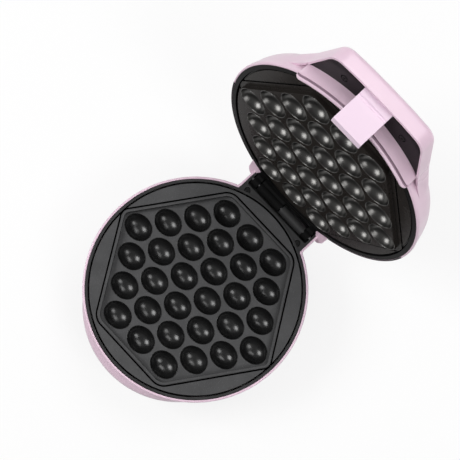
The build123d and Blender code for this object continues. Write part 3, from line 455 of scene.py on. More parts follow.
def finish(name, colour, tint, roughness, spread_of_roughness=0.06, metallic=0.0, coat=0.0,
           coat_roughness=0.1, grain_scale=900.0, grain_depth=0.02, patch_scale=35.0, wear=0.0,
           wear_colour=(0.8, 0.8, 0.8, 1), fleck=None, groove=None, shaded=0.0, soften=0.0,
           transmission=0.0, specular=0.5):
    """A procedural material on object coordinates, from the shared groups."""
    material = bpy.data.materials.new(name)
    material.use_nodes = True
    tree = material.node_tree
    shader = tree.nodes["Principled BSDF"]
    where = tree.nodes.new("ShaderNodeTexCoord").outputs["Object"]
    grain = use_group(tree, GRAIN, where)
    grain.inputs["Scale"].default_value = grain_scale
    grain.inputs["Patch Scale"].default_value = patch_scale
    patches = grain.outputs["Patches"]
    shade = mix_colour(tree, patches, (*colour, 1), (*tint, 1))
    if fleck:
        spots = use_group(tree, FLECK, where)
        shade = mix_colour(tree, spots.outputs["Mask"], shade, (*fleck, 1))
    # painted shade: the shade attribute pulls the pink towards a deeper pink in the lid ridge's groove
    if shaded:
        shade_attribute = tree.nodes.new("ShaderNodeAttribute")
        shade_attribute.attribute_name = "shade"
        shade = mix_colour(tree, math_node(tree, "MULTIPLY", shade_attribute.outputs["Fac"], shaded), shade,
                           RECESS_SHADE_PINK)
    # painted shade: near black, and metallic, between two depths in the plate's grooves
    if groove:
        axis, mouth = groove
        painted_groove_shade = use_group(tree, GROOVE, where)
        painted_groove_shade.inputs["Axis"].default_value = axis
        painted_groove_shade.inputs["Mouth"].default_value = mouth
        shade = mix_colour(tree, painted_groove_shade.outputs["Mask"], shade, GROOVE_SHADE_BLACK)
        tree.links.new(painted_groove_shade.outputs["Mask"], shader.inputs["Metallic"])
    if wear:
        edges = use_group(tree, WEAR, where)
        shade = mix_colour(tree, math_node(tree, "MULTIPLY", edges.outputs["Mask"], wear), shade, wear_colour)
    if not groove:
        shader.inputs["Metallic"].default_value = metallic
    uneven = spread(tree, patches, 0, 1, roughness - spread_of_roughness, roughness + spread_of_roughness)
    for label, value in (("Base Color", shade), ("Roughness", uneven), ("Coat Weight", coat),
                         ("Coat Roughness", coat_roughness), ("Transmission Weight", transmission),
                         ("Specular IOR Level", specular)):
        feed(tree, shader.inputs[label], value)
    bump = tree.nodes.new("ShaderNodeBump")
    bump.inputs["Strength"].default_value = grain_depth
    bump.inputs["Distance"].default_value = 0.0005
    tree.links.new(grain.outputs["Height"], bump.inputs["Height"])
    if soften:
        corner = tree.nodes.new("ShaderNodeBevel")
        corner.samples = 6
        corner.inputs["Radius"].default_value = soften
        tree.links.new(corner.outputs["Normal"], bump.inputs["Normal"])
    tree.links.new(bump.outputs["Normal"], shader.inputs["Normal"])
    return material


def give(piece, finish_name):
    """Sets a piece's only material."""
    slots = piece.data.materials
    if not slots:
        slots.append(None)
    for i in range(len(slots)):
        slots[i] = FINISHES[finish_name]


def settle(piece, body, slot, *nodes):
    """Hands a finished piece over to its body."""
    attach(piece, body)
    if nodes:
        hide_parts(*nodes)


# Settings
class WAFFLE_case(bpy.types.PropertyGroup):
    """The pink cases."""
    pink: bpy.props.FloatVectorProperty(
        name="Shell colour", description="Colour of both cases", subtype="COLOR", size=3,
        min=0, max=1, default=(0.82, 0.61, 0.73))
    # painted light: paler than the case pink, for light on the tilted flap
    latch_pink: bpy.props.FloatVectorProperty(
        name="Latch colour", description="Colour of the latch flap", subtype="COLOR", size=3,
        min=0, max=1, default=(0.88, 0.70, 0.83))
    gloss: bpy.props.FloatProperty(
        name="Shell roughness", description="Roughness of the moulded cases", subtype="FACTOR",
        min=0, max=1, default=0.32)
    rim_round: bpy.props.FloatProperty(
        name="Rim rounding", description="Radius of the rims' outer edges", unit="LENGTH", default=0.0012)


class WAFFLE_plates(bpy.types.PropertyGroup):
    """The baking plates and the trim around them."""
    coating: bpy.props.FloatVectorProperty(
        name="Coating", description="Colour of the non-stick coating", subtype="COLOR", size=3,
        min=0, max=1, default=(0.018, 0.018, 0.0185))
    trim: bpy.props.FloatVectorProperty(
        name="Trim", description="Colour of the black rings, hinge and tray", subtype="COLOR", size=3,
        min=0, max=1, default=(0.022, 0.022, 0.0225))
    lip: bpy.props.FloatProperty(
        name="Cavity lip", description="Height of the rounded lip around each cavity", unit="LENGTH",
        default=0.0002)
    skin: bpy.props.FloatProperty(
        name="Coating thickness", description="How far the lining stands inside each cavity",
        unit="LENGTH", default=0.00025)


class WAFFLE_studio(bpy.types.PropertyGroup):
    """Camera, floor and lamps."""
    azimuth: bpy.props.FloatProperty(
        name="Azimuth", description="Camera's direction around the part", subtype="ANGLE",
        default=math.radians(29.04))
    elevation: bpy.props.FloatProperty(
        name="Elevation", description="Camera's height above the horizon", subtype="ANGLE",
        default=math.radians(83.38))
    roll: bpy.props.FloatProperty(
        name="Roll", description="Camera's turn about its own axis", subtype="ANGLE",
        default=math.radians(17.90))
    distance: bpy.props.FloatProperty(
        name="Distance", description="Camera to target", unit="LENGTH", default=1.036)
    lens: bpy.props.FloatProperty(
        name="Lens", description="Focal length on a 36 mm sensor", unit="CAMERA", default=80.62)
    floor: bpy.props.FloatVectorProperty(
        name="Floor", description="Colour of the floor", subtype="COLOR", size=3, min=0, max=1,
        default=(0.93, 0.93, 0.93))


# The cases
def base_radius(angle, level, inset, block):
    """The base's outer radius at a height, or its inner one with an inset."""
    radius = lookup(BOWL, level) - inset
    if level <= BULGE_TOP:
        bulge = lookup(BULGE, level) - inset
        across = BULGE_CENTRE * math.cos(angle)
        along = BULGE_CENTRE * math.sin(angle) + math.sqrt(bulge * bulge - across * across)
        radius = blend_max(radius, along, 3.0)
    if block:
        radius = blend_max(radius, block, 2.5 if not inset else 0.5)
    return radius


def base_case_rows(rim_round):
    """Rows of points: up the outside, over the rim and down the inside."""
    step_angle = math.atan2(BLOCK_BACK, STEP_HALF)
    root_angle = math.atan2(BLOCK_ROOT, BLOCK_HALF)
    angles = directions([step_angle, math.pi - step_angle, root_angle, math.pi - root_angle])
    outer_plan, inner_plan = block_plan(0), block_plan(BLOCK_WALL)
    levels = [BASE_FLOOR + 1.0, -53, -50, -46, -42, -38, -34, -31, -28, -25, -22.5, -21, -19.5, -18, -16.5,
              -15, -13.5, -12, -10.8, -9.9, -9.01, -8, -5.5]
    rows = []

    def ring(level_of, radius_of):
        row = []
        for angle in angles:
            r = radius_of(angle)
            row.append((r * math.cos(angle), r * math.sin(angle), level_of(angle)))
        rows.append(row)

    def outline(plan, angle):
        return reach(plan, angle) if math.sin(angle) > 0 else 0.0

    def rim_level(angle):
        lowered = abs(math.cos(angle)) < math.cos(step_angle) and math.sin(angle) > 0
        return STEP_LEVEL if lowered else -RIM_GAP

    ring(lambda a: BASE_FLOOR, lambda a: base_radius(a, BASE_FLOOR, 0.8, outline(outer_plan, a)))
    for level in levels:
        ring(lambda a: min(level, rim_level(a) - rim_round),
             lambda a: base_radius(a, level, 0, outline(outer_plan, a)))
    for k in range(5):
        swing = math.radians(90 * k / 4)
        ring(lambda a: rim_level(a) - rim_round * (1 - math.sin(swing)),
             lambda a: base_radius(a, -1, 0, outline(outer_plan, a)) - rim_round * (1 - math.cos(swing)))
    for drop, gap in ((0, 0.4), (0.12, 0.12), (0.4, 0), (6, 0), (9, 0)):
        ring(lambda a: rim_level(a) - drop,
             lambda a: base_radius(a, -1, BASE_WALL, outline(inner_plan, a)) + gap)
    for level in (-12, -16, -21, -26, -32, -40, -48, BASE_FLOOR + 1):
        ring(lambda a: level, lambda a: base_radius(a, level, BASE_WALL, outline(inner_plan, a)))
    ring(lambda a: BASE_FLOOR, lambda a: base_radius(a, BASE_FLOOR, BASE_WALL, outline(inner_plan, a)))
    return rows


def box_mesh(name, low, high, open_side=None):
    """A plain box between two corners, without the side that faces open_side."""
    work = bmesh.new()
    bmesh.ops.create_cube(work, size=1)
    for v in work.verts:
        v.co = Vector(tuple(l + (h - l) * (c + 0.5) for l, h, c in zip(low, high, v.co)))
    if open_side:
        gone = [f for f in work.faces if f.normal.dot(Vector(open_side)) > 0.9]
        bmesh.ops.delete(work, geom=gone, context="FACES")
    mesh = bpy.data.meshes.new(name)
    work.to_mesh(mesh)
    work.free()
    return mesh


class WAFFLE_OT_base_case(bpy.types.Operator):
    """Makes the base's pink case with its front bulge, hinge block and catch"""
    bl_idname = "waffle.base_case"
    bl_label = "Base case"

    def execute(self, context):
        case = context.scene.waffle_case
        rows = base_case_rows(case.rim_round / MM)
        shell = grid_object("base_case", rows, base_at, closed=True)
        # the catch's opening in the front wall, with its pocket behind
        mesh = box_mesh("catch_cutter", base_at(-CATCH_HALF, CATCH_CUT[0], CATCH_FOOT),
                        base_at(CATCH_HALF, CATCH_CUT[1], CATCH_LEVEL))
        cutter = add_object("catch_cutter", mesh)
        cut = shell.modifiers.new("catch", "BOOLEAN")
        cut.operation = "DIFFERENCE"
        cut.solver = "EXACT"
        cut.object = cutter
        shell = evaluated(shell, "base_case")
        bpy.data.objects.remove(cutter)
        give(shell, "shell_pink")
        settle(shell, "base", "shell_pink", "base_shell")
        liner = finish_mesh("catch_pocket", box_mesh(
            "catch_pocket", base_at(-CATCH_HALF, POCKET[0], CATCH_FOOT),
            base_at(CATCH_HALF, POCKET[1], CATCH_LEVEL), open_side=(0, -1, 0)))
        wall = liner.modifiers.new("wall", "SOLIDIFY")
        wall.thickness = POCKET_WALL
        wall.offset = 1
        liner = evaluated(liner, "catch_pocket")
        give(liner, "shell_pink")
        settle(liner, "base", "shell_pink")
        return {"FINISHED"}


def lid_case_rows(rim_round):
    """Rows of points: from the crown out to the rim, then back up the inside."""
    ridge_angle = math.acos(RIDGE_HALF / RIDGE_OUTER)
    notch_angle = math.atan2(HUMP_BACK, NOTCH_HALF)
    angles = directions([notch_angle, math.pi - notch_angle, TURN - ridge_angle, math.pi + ridge_angle])
    spots = []
    for angle in angles:
        c, s = math.cos(angle), math.sin(angle)
        plan = 0.0
        if s < HANDLE_FROM or s > HUMP_FROM:
            plan = reach(HANDLE_PLAN if s < 0 else HUMP_PLAN, angle)
        shelf = HUMP_TOP + (HANDLE_TOP - HUMP_TOP) * ease(0.5 - 2 * s)
        spots.append((c, s, plan, shelf))
    rows = []

    def ring(spot_of):
        row = []
        for c, s, plan, shelf in spots:
            r, *rest = spot_of(c, s, plan, shelf)
            row.append((r * c, r * s, *rest))
        rows.append(row)

    def side(plan, shelf, w):
        """The radius of the side wall at a height."""
        dip = max(w - (shelf - EDGE_ROUND), 0)
        inset = EDGE_ROUND - math.sqrt(max(EDGE_ROUND ** 2 - dip ** 2, 0))
        return blend_max(lookup(DOME, w), plan - inset, 3.0)

    def crown(r):
        return lookup(CROWN, r)

    def shelf_fillet(plan, shelf):
        return min(5.0, 0.5 * (side(plan, shelf, shelf) - lookup(DOME, shelf)))

    def ridge_share(c, s):
        return ease((RIDGE_HALF - RIDGE_OUTER * abs(c)) / 1.6 + 0.5) if s < 0 else 0.0

    def over_notch(c, s):
        return abs(c) * HUMP_BACK / max(s, 0.1) < NOTCH_HALF

    def low_radius(c, s, plan, w):
        """The body under the handle: the dome, the ridge or the hump."""
        radius = lookup(DOME, w)
        if s > HUMP_FROM:
            return blend_max(radius, plan, 1.5)
        return radius + (RIDGE_OUTER - radius) * ridge_share(c, s)

    for i in range(15):
        share = math.sin(math.radians(90 * i / 15))
        ring(lambda c, s, plan, shelf: (
            lookup(DOME, shelf + shelf_fillet(plan, shelf)) * share,
            crown(lookup(DOME, shelf + shelf_fillet(plan, shelf)) * share)))
    for i in range(6):
        t = i / 5

        def fillet_spot(c, s, plan, shelf):
            size = shelf_fillet(plan, shelf)
            foot = lookup(DOME, shelf)
            a = Vector((lookup(DOME, shelf + size), shelf + size))
            b = Vector((foot, shelf))
            d = Vector((foot + size, shelf))
            p = a * (1 - t) ** 2 + b * 2 * t * (1 - t) + d * t * t
            return p.x, p.y
        ring(fillet_spot)
    for i in range(1, 4):
        ring(lambda c, s, plan, shelf: (
            (lookup(DOME, shelf) + shelf_fillet(plan, shelf)) * (1 - i / 4)
            + side(plan, shelf, shelf) * i / 4, shelf))
    for i in range(7):
        swing = math.radians(90 * i / 6)
        ring(lambda c, s, plan, shelf: (
            side(plan, shelf, shelf - EDGE_ROUND * (1 - math.cos(swing))),
            shelf - EDGE_ROUND * (1 - math.cos(swing))))
    for i in range(1, 6):
        ring(lambda c, s, plan, shelf: (
            side(plan, shelf, (shelf - EDGE_ROUND) * (1 - i / 5) + HANDLE_UNDERSIDE * i / 5),
            (shelf - EDGE_ROUND) * (1 - i / 5) + HANDLE_UNDERSIDE * i / 5))

    # the handle's underside and hollow, which close up where there is no handle
    def foot_radius(c, s, plan):
        return low_radius(c, s, plan, HANDLE_UNDERSIDE)

    for radius_of, w in (
            (lambda c, s, plan: plan - 0.5, HANDLE_UNDERSIDE),
            (lambda c, s, plan: plan - (HANDLE_WALL - 0.4), HANDLE_UNDERSIDE),
            (lambda c, s, plan: plan - HANDLE_WALL, HANDLE_UNDERSIDE + 0.4),
            (lambda c, s, plan: plan - HANDLE_WALL, HANDLE_ROOF),
            (lambda c, s, plan: lookup(DOME, HANDLE_ROOF) + 0.5, HANDLE_ROOF),
            (lambda c, s, plan: lookup(DOME, PANEL_BACK) + 0.5, PANEL_BACK),
            (lambda c, s, plan: foot_radius(c, s, plan) - 0.4, PANEL_BACK),
            (foot_radius, PANEL_BACK - 0.4)):

        def hollow_spot(c, s, plan, shelf):
            floor = foot_radius(c, s, plan)
            if s > 0 or plan - HANDLE_WALL < floor + 0.2:
                return min(max(plan, floor), side(plan, HANDLE_TOP, HANDLE_UNDERSIDE)), HANDLE_UNDERSIDE
            return radius_of(c, s, plan), w
        ring(hollow_spot)

    # the ridge with its groove and lip, or the plain rim, or the hump's foot
    outer, inner, groove = RIDGE_OUTER, RIDGE_INNER, 114.7
    ridge = ((outer, 8), (outer, 3), (outer, -3.3), (groove, -3.35), (groove, -5.95), (outer, -6),
             (outer, -7.4), (115.8, -7.85), (115.4, -8), (114.1, -8), (113.7, -7.85), (inner, -7.4),
             (inner, -3), (inner, 0.2), (110.6, 0.2))
    plain = ((0, 8), (0, 6.5), (0, 5), (0, 4), (0, 3.2), (0, 2.4), (0, 1.4), (-0.16, 0.8), (-0.5, 0.4),
             (-1.0, 0.22), (-1.2, 0.2), (-1.3, 0.2), (-1.35, 0.2), (-1.4, 0.2), (-1.45, 0.2))
    for k, ((ridge_r, ridge_w), (trim, level)) in enumerate(zip(ridge, plain)):

        def rim_spot(c, s, plan, shelf):
            if s < 0:
                share = ridge_share(c, s)
                drop = clamp((RIDGE_OUTER * abs(c) - (RIDGE_HALF - 6)) / 6.8)
                reach_down = math.sqrt(max(1 - drop * drop, 0))
                deep = ridge_w if ridge_w > 0 else RIM_GAP + (ridge_w - RIM_GAP) * reach_down
                radius = (lookup(DOME, level) + trim) * (1 - share) + ridge_r * share
                shade = share * reach_down if k in (3, 4) else 0.0    # painted shade on the groove's two rows
                return radius, level + (deep - level) * share, shade
            foot = plan > HUMP_REACH
            if foot and over_notch(c, s):
                path = ((plan, NOTCH_LEVEL), (plan - LID_WALL, NOTCH_LEVEL), (plan - LID_WALL, 20.5),
                        (108, 21))
                return path[min(k // 4, 3)]
            if foot:
                if k < 12:
                    return blend_max(lookup(DOME, level), plan, 1.0) + trim, max(level, 0.8)
                return 110.6, 0.8
            return lookup(DOME, level) + trim, level
        ring(rim_spot)
    for r, w in ((110.15, 0.4), (110.15, 2.5), (108.9, 2.6), (107.5, 12), (106.2, 20), (103.5, 28),
                 (96, 33.5), (88, 35.3), (60, 38), (30, 39.2), (0, 39.3)):

        def inner_spot(c, s, plan, shelf):
            behind = s > 0 and plan > HUMP_REACH and over_notch(c, s)
            return (min(r, 107.6), max(w, 21)) if behind and w < 21 else (r, w)
        ring(inner_spot)
    return rows


class WAFFLE_OT_lid_case(bpy.types.Operator):
    """Makes the lid's pink case: dome, handle, ridge and the hump over the hinge"""
    bl_idname = "waffle.lid_case"
    bl_label = "Lid case"

    def execute(self, context):
        rows = lid_case_rows(context.scene.waffle_case.rim_round / MM)
        shell = grid_object("lid_case", rows, lid_at)
        give(shell, "shell_pink")
        settle(shell, "lid", "shell_pink", "lid_shell")
        return {"FINISHED"}


class WAFFLE_OT_rim_strips(bpy.types.Operator):
    """Makes the black edging along both sides of the lid's rim"""
    bl_idname = "waffle.rim_strips"
    bl_label = "Rim strips"

    def execute(self, context):
        for name, first, last in STRIP_ARCS:
            rows = []
            for i in range(STRIP_STEPS + 1):
                angle = math.radians(first + (last - first) * i / STRIP_STEPS)
                rows.append([(r * math.cos(angle), r * math.sin(angle), w) for r, w in STRIP_SECTION])
            strip = grid_object(name, rows, lid_at)
            work = bmesh.new()
            work.from_mesh(strip.data)
            bmesh.ops.holes_fill(work, edges=[edge for edge in work.edges if edge.is_boundary])
            bmesh.ops.recalc_face_normals(work, faces=work.faces)
            work.to_mesh(strip.data)
            work.free()
            give(strip, "lid_trim")
            settle(strip, "lid", "trim_black")
        return {"FINISHED"}


class WAFFLE_OT_latch(bpy.types.Operator):
    """Makes the latch flap with its folds and hook"""
    bl_idname = "waffle.latch"
    bl_label = "Latch"

    def execute(self, context):
        def flap(along, out):
            s, c = math.sin(LATCH_TILT), math.cos(LATCH_TILT)
            return LATCH_PIN[0] + along * s - out * c, LATCH_PIN[1] - along * c - out * s

        # down the outside with its fold, around the hook, up the inside and round the knuckle
        outline = [flap(0, LATCH_KNUCKLE), flap(9.0, LATCH_KNUCKLE), flap(9.9, 1.2), flap(11.2, 1.2),
                   flap(12.1, 2.1), flap(25, 2.1), flap(LATCH_LENGTH, 2.0)]
        outline += [(-124.2, HOOK_LEVEL - 2.4), (HOOK_REACH - 1.2, HOOK_LEVEL - 2.8),
                    (HOOK_REACH, HOOK_LEVEL - 1.6), (HOOK_REACH, HOOK_LEVEL), (-122.9, HOOK_LEVEL)]
        outline += [flap(34.5, -0.4), flap(10.2, -0.4), flap(9.6, -0.6), flap(0, -LATCH_KNUCKLE)]
        for k in range(1, 6):
            swing = math.radians(180 * k / 6)
            outline.append(flap(-LATCH_KNUCKLE * math.sin(swing), -LATCH_KNUCKLE * math.cos(swing)))
        points = [lid_at(x, y, w) for x in (-LATCH_HALF, LATCH_HALF) for y, w in outline]
        count = len(outline)
        faces = [tuple(range(count)), tuple(range(2 * count - 1, count - 1, -1))]
        faces += [(i, (i + 1) % count, count + (i + 1) % count, count + i) for i in range(count)]
        mesh = bpy.data.meshes.new("latch_flap")
        mesh.from_pydata(points, [], faces)
        piece = finish_mesh("latch_flap", mesh, sharp=30)
        soften = piece.modifiers.new("edges", "BEVEL")
        soften.width = LATCH_ROUND
        soften.segments = 3
        soften.limit_method = "ANGLE"
        soften.angle_limit = math.radians(28)
        soften.harden_normals = True
        piece = evaluated(piece, "latch_flap")
        give(piece, "latch_pink")
        settle(piece, "latch", "latch_pink", "latch")
        return {"FINISHED"}


# The cavities' linings
def cup_object(lip, skin):
    """One egg-shaped lining with its lip, mouth up, about the middle of its mouth."""
    long_half, radius = CUP_HALF_LENGTH - skin, CUP_RADIUS - skin
    spots = []
    for k in range(13):
        swing = math.radians(CUP_SWEEP * k / 12)
        spots.append((math.sin(swing), 0.0, CUP_RISE - radius * math.cos(swing)))
    mouth = math.sqrt(1 - (CUP_RISE / radius) ** 2)
    for gap, rise in LIP_PROFILE:
        spots.append((mouth, gap, lip * rise))
    rows = []
    for share, gap, height in spots:
        row = []
        for i in range(CUP_SIDES):
            turn = TURN * i / CUP_SIDES
            row.append(((long_half * share + gap) * math.cos(turn),
                        (radius * share + gap) * math.sin(turn), height))
        rows.append(row)
    return grid_object("cup_lining", rows, lambda x, y, z: Vector((x, y, z)) * MM)


def cup_tree():
    """Sets a lining on every point, turned as its plate lies."""
    tree = bpy.data.node_groups.new("set_cavities", "GeometryNodeTree")
    for label, side, kind in (("Spots", "INPUT", "Geometry"), ("Cup", "INPUT", "Object"),
                              ("Turn", "INPUT", "Rotation"), ("Coating", "INPUT", "Material"),
                              ("Linings", "OUTPUT", "Geometry")):
        tree.interface.new_socket(name=label, in_out=side, socket_type="NodeSocket" + kind)
    start, end, cup, place, real, paint = (tree.nodes.new(kind) for kind in (
        "NodeGroupInput", "NodeGroupOutput", "GeometryNodeObjectInfo", "GeometryNodeInstanceOnPoints",
        "GeometryNodeRealizeInstances", "GeometryNodeSetMaterial"))
    for source, output, target, entry in (
            (start, "Spots", place, "Points"), (start, "Cup", cup, "Object"),
            (cup, "Geometry", place, "Instance"), (start, "Turn", place, "Rotation"),
            (place, "Instances", real, "Geometry"), (real, "Geometry", paint, "Geometry"),
            (start, "Coating", paint, "Material"), (paint, "Geometry", end, "Linings")):
        tree.links.new(source.outputs[output], target.inputs[entry])
    return tree


def cup_spots():
    """Seven rows of three to six and back to three, shifted by half a pitch."""
    spots = []
    for row in range(-3, 4):
        count = 6 - abs(row)
        for i in range(count):
            spots.append(((i - (count - 1) / 2) * PITCH_X, row * PITCH_Y))
    return spots


class WAFFLE_OT_cavities(bpy.types.Operator):
    """Lines the thirty cavities of each plate and gives each its lip"""
    bl_idname = "waffle.cavities"
    bl_label = "Cavities"

    def execute(self, context):
        sizes = context.scene.waffle_plates
        cup = cup_object(sizes.lip / MM, sizes.skin / MM)
        tree = cup_tree()
        for name, body, place, field, turn, coating in (
                ("lower_cavities", "base", base_at, LOWER_FIELD, 0.0, "lower_cups"),
                ("upper_cavities", "lid", lid_at, UPPER_FIELD, math.pi - OPEN_ANGLE, "upper_cups")):
            mesh = bpy.data.meshes.new(name + "_spots")
            mesh.from_pydata([place(x, y, field) for x, y in cup_spots()], [], [])
            piece = add_object(name + "_spots", mesh)
            step = piece.modifiers.new("cavities", "NODES")
            step.node_group = tree
            keys = {item.name: item.identifier for item in tree.interface.items_tree
                    if item.in_out == "INPUT"}
            step[keys["Cup"]] = cup
            step[keys["Turn"]] = (turn, 0.0, 0.0)
            step[keys["Coating"]] = FINISHES[coating]
            piece = evaluated(piece, name)
            settle(piece, body, "coated_plate")
        bpy.data.objects.remove(cup)
        return {"FINISHED"}


class WAFFLE_OT_kept_nodes(bpy.types.Operator):
    """Finishes the CAD pieces that are shown as they are"""
    bl_idname = "waffle.kept_nodes"
    bl_label = "Other pieces"

    def execute(self, context):
        for finish_name, names in KEPT_NODES.items():
            for name in names:
                give(NODES[name], finish_name)
        return {"FINISHED"}


# The studio
def area_lamp(name, place, aim, width, power):
    """A square softbox that points at a spot."""
    data = bpy.data.lights.new(name, "AREA")
    data.shape = "SQUARE"
    data.size = width
    data.energy = power
    lamp = add_object(name, data)
    lamp.location = place
    lamp.rotation_euler = (Vector(aim) - Vector(place)).to_track_quat("-Z", "Y").to_euler()


class WAFFLE_OT_studio(bpy.types.Operator):
    """Sets the camera, the pale floor and the soft lamps"""
    bl_idname = "waffle.studio"
    bl_label = "Studio"

    def execute(self, context):
        scene = context.scene
        studio = scene.waffle_studio
        turn, lift = studio.azimuth, studio.elevation
        back = Vector((math.sin(turn) * math.cos(lift), -math.cos(turn) * math.cos(lift), math.sin(lift)))
        right = Vector((math.cos(turn), math.sin(turn), 0))
        up = back.cross(right)
        c, s = math.cos(studio.roll), math.sin(studio.roll)
        axes = Matrix((right * c + up * s, up * c - right * s, back)).transposed()
        camera = add_object("camera", bpy.data.cameras.new("camera"))
        camera.data.lens = studio.lens
        camera.data.sensor_width = SENSOR_WIDTH
        camera.matrix_world = Matrix.Translation(CAMERA_TARGET + back * studio.distance) @ axes.to_4x4()
        scene.camera = camera

        work = bmesh.new()
        bmesh.ops.create_grid(work, x_segments=1, y_segments=1, size=FLOOR_HALF)
        mesh = bpy.data.meshes.new("floor")
        work.to_mesh(mesh)
        work.free()
        floor = add_object("floor", mesh)
        material = bpy.data.materials.new("pale_floor")
        material.use_nodes = True
        tree = material.node_tree
        shader = tree.nodes["Principled BSDF"]
        shader.inputs["Base Color"].default_value = (*studio.floor, 1)
        shader.inputs["Roughness"].default_value = 0.9
        # the floor fades to plain white away from the part
        path = tree.nodes.new("ShaderNodeLightPath")
        seen = math_node(tree, "MAXIMUM", path.outputs["Is Camera Ray"], path.outputs["Is Glossy Ray"])
        glow = tree.nodes.new("ShaderNodeEmission")
        tree.links.new(math_node(tree, "MAXIMUM", seen, path.outputs["Is Transmission Ray"]),
                       glow.inputs["Strength"])
        reach_out = tree.nodes.new("ShaderNodeVectorMath")
        reach_out.operation = "LENGTH"
        tree.links.new(tree.nodes.new("ShaderNodeTexCoord").outputs["Object"], reach_out.inputs[0])
        blend = tree.nodes.new("ShaderNodeMixShader")
        tree.links.new(spread(tree, reach_out.outputs["Value"], WHITE_NEAR[0], WHITE_FAR[0], WHITE_NEAR[1],
                              WHITE_FAR[1]), blend.inputs["Fac"])
        tree.links.new(shader.outputs["BSDF"], blend.inputs[1])
        tree.links.new(glow.outputs["Emission"], blend.inputs[2])
        tree.links.new(blend.outputs["Shader"], tree.nodes["Material Output"].inputs["Surface"])
        floor.data.materials.append(material)

        for lamp in LAMPS:
            area_lamp(*lamp)
        # a soft sky: pale round the horizon, dim above it, soft overhead
        world = bpy.data.worlds.new("studio")
        world.use_nodes = True
        tree = world.node_tree
        height = tree.nodes.new("ShaderNodeSeparateXYZ")
        tree.links.new(tree.nodes.new("ShaderNodeTexCoord").outputs["Generated"], height.inputs["Vector"])
        ramp = tree.nodes.new("ShaderNodeValToRGB")
        tree.links.new(height.outputs["Z"], ramp.inputs["Fac"])
        stops = ramp.color_ramp.elements
        for place, level in SKY:
            stop = stops.new(place) if 0 < place < 1 else stops[0 if place == 0 else -1]
            stop.color = (level, level, level, 1)
        sky = tree.nodes["Background"]
        tree.links.new(ramp.outputs["Color"], sky.inputs["Color"])
        sky.inputs["Strength"].default_value = 1.0
        scene.world = world
        scene.view_settings.view_transform = "Standard"
        return {"FINISHED"}


class WAFFLE_PT_panel(bpy.types.Panel):
    """Lists the sizes and the steps that make the appliance"""
    bl_idname = "WAFFLE_PT_panel"
    bl_label = "Bubble Waffle Maker"
    bl_space_type = "VIEW_3D"
    bl_region_type = "UI"
    bl_category = "Waffle"

    def draw(self, context):
        scene = context.scene
        for settings in (scene.waffle_case, scene.waffle_plates, scene.waffle_studio):
            column = self.layout.column(align=True)
            for key in settings.bl_rna.properties.keys():
                if key not in ("rna_type", "name"):
                    column.prop(settings, key)
        for step in STEPS:
            self.layout.operator(step.bl_idname)


SETTINGS = (("waffle_case", WAFFLE_case), ("waffle_plates", WAFFLE_plates), ("waffle_studio", WAFFLE_studio))
STEPS = (WAFFLE_OT_base_case, WAFFLE_OT_lid_case, WAFFLE_OT_rim_strips, WAFFLE_OT_latch,
         WAFFLE_OT_cavities, WAFFLE_OT_kept_nodes, WAFFLE_OT_studio)


def register():
    for name, settings in SETTINGS:
        bpy.utils.register_class(settings)
        setattr(bpy.types.Scene, name, bpy.props.PointerProperty(type=settings))
    for step in (*STEPS, WAFFLE_PT_panel):
        bpy.utils.register_class(step)


def unregister():
    for step in (WAFFLE_PT_panel, *reversed(STEPS)):
        bpy.utils.unregister_class(step)
    for name, settings in reversed(SETTINGS):
        delattr(bpy.types.Scene, name)
        bpy.utils.unregister_class(settings)


def tinted(colour, share):
    """A colour times one share, or times one for each channel."""
    shares = share if isinstance(share, tuple) else (share,) * 3
    return tuple(v * f for v, f in zip(colour, shares))


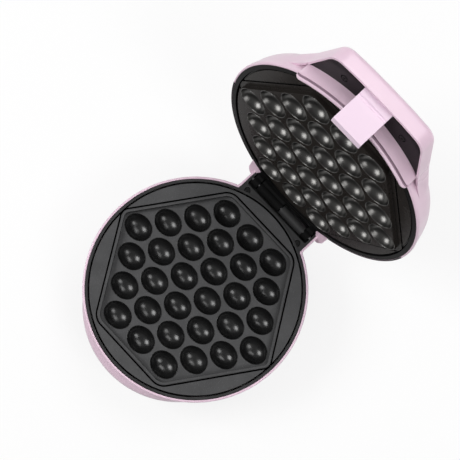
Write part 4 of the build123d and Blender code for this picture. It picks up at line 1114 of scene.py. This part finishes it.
def make_finishes(scene):
    """The finishes, from the settings where they name a colour."""
    def add(name, colour, tint, roughness, *spread_of_roughness, **values):
        FINISHES[name] = finish(name, colour, tint, roughness, *spread_of_roughness, **values)

    pink = tuple(scene.waffle_case.pink)
    pale = tuple(scene.waffle_case.latch_pink)
    coat = tuple(scene.waffle_plates.coating)
    trim = tuple(scene.waffle_plates.trim)
    # the case pink takes painted shade in the lid ridge's groove
    add("shell_pink", pink, tinted(pink, 0.97), scene.waffle_case.gloss, coat=0.2, coat_roughness=0.2,
        grain_depth=0.03, wear=0.12, wear_colour=(0.9, 0.8, 0.87, 1), shaded=0.75)
    # painted light: the latch takes the case pink painted paler, for light on its tilted flap
    add("latch_pink", pale, tinted(pale, 0.98), 0.34, coat=0.2, coat_roughness=0.2, grain_depth=0.03)

    # the coated plates share one coating: the lower one is flecked and painted brighter as painted light; the
    # upper one is smoother, painted darker as painted shade and browner as a painted reflection
    fine = {"grain_scale": 1500, "patch_scale": 60}
    lid_axis = lid_at(0, 0, 1000) - lid_at(0, 0, 0)
    # both coatings take painted shade in their grooves
    add("lower_coating", tinted(coat, 3.2), tinted(coat, 3.9), 0.42, 0.05, grain_depth=0.15, soften=0.0004,
        fleck=(0.13, 0.13, 0.135), specular=0.35, groove=((0, 0, -1), -RIM_HEIGHT * MM), **fine)
    add("upper_coating", tinted(coat, (1.0, 0.85, 0.75)), tinted(coat, (1.25, 1.05, 0.9)), 0.27, 0.04,
        grain_depth=0.05, soften=0.0004, specular=0.11,
        groove=(tuple(lid_axis), lid_axis.dot(lid_at(0, 0, 0))), **fine)
    add("lower_cups", tinted(coat, 0.35), tinted(coat, 0.5), 0.27, 0.03, grain_depth=0.04, specular=0.6,
        **fine)
    add("upper_cups", (0.108, 0.106, 0.103), (0.09, 0.088, 0.085), 0.29, 0.02, metallic=1.0,
        grain_depth=0.03, **fine)

    # the black pieces
    add("trim_black", trim, tinted(trim, 1.3), 0.36, grain_scale=1100, grain_depth=0.06, soften=0.0004)
    # painted shade: the lid's trim is the base trim's black painted four times darker, with less gloss
    add("lid_trim", tinted(trim, 0.25), tinted(trim, 0.35), 0.36, grain_scale=1100, grain_depth=0.05,
        soften=0.0004, specular=0.06)
    add("panel_black", (0.004, 0.003, 0.004), (0.006, 0.005, 0.006), 0.16, 0.03, grain_depth=0.004,
        soften=0.0003, specular=0.2)
    add("screw_black", (0.03, 0.03, 0.03), (0.045, 0.045, 0.045), 0.42, metallic=1.0, grain_depth=0.05,
        soften=0.0002)

    # the underside and the inside
    add("cover_grey", (0.10, 0.095, 0.10), (0.12, 0.115, 0.12), 0.55, grain_depth=0.15)
    add("foot_rubber", (0.018, 0.018, 0.018), (0.026, 0.026, 0.026), 0.75, grain_depth=0.2)
    add("screw_steel", (0.55, 0.55, 0.56), (0.46, 0.46, 0.47), 0.32, 0.08, metallic=1.0, grain_depth=0.05)
    add("heater_steel", (0.20, 0.18, 0.16), (0.28, 0.26, 0.24), 0.45, 0.1, metallic=1.0, grain_depth=0.08)
    add("reflector_sheet", (0.72, 0.72, 0.73), (0.62, 0.62, 0.63), 0.25, metallic=1.0, grain_depth=0.04)
    add("terminal_white", (0.7, 0.69, 0.65), (0.64, 0.63, 0.6), 0.5, grain_depth=0.1)

    # the lamps
    for name, colour, tint in (("lens_red", (0.55, 0.02, 0.015), (0.45, 0.015, 0.012)),
                               ("lens_green", (0.03, 0.35, 0.06), (0.025, 0.28, 0.05))):
        add(name, colour, tint, 0.12, 0.02, coat=0.5, coat_roughness=0.05, grain_depth=0.0)
    add("lamp_glass", (0.85, 0.82, 0.78), (0.8, 0.77, 0.73), 0.1, 0.02, transmission=0.9, grain_depth=0.0)


def main():
    register()
    make_finishes(bpy.context.scene)
    for step in STEPS:
        group, name = step.bl_idname.split(".")
        getattr(getattr(bpy.ops, group), name)()


if __name__ == "__main__":
    main()
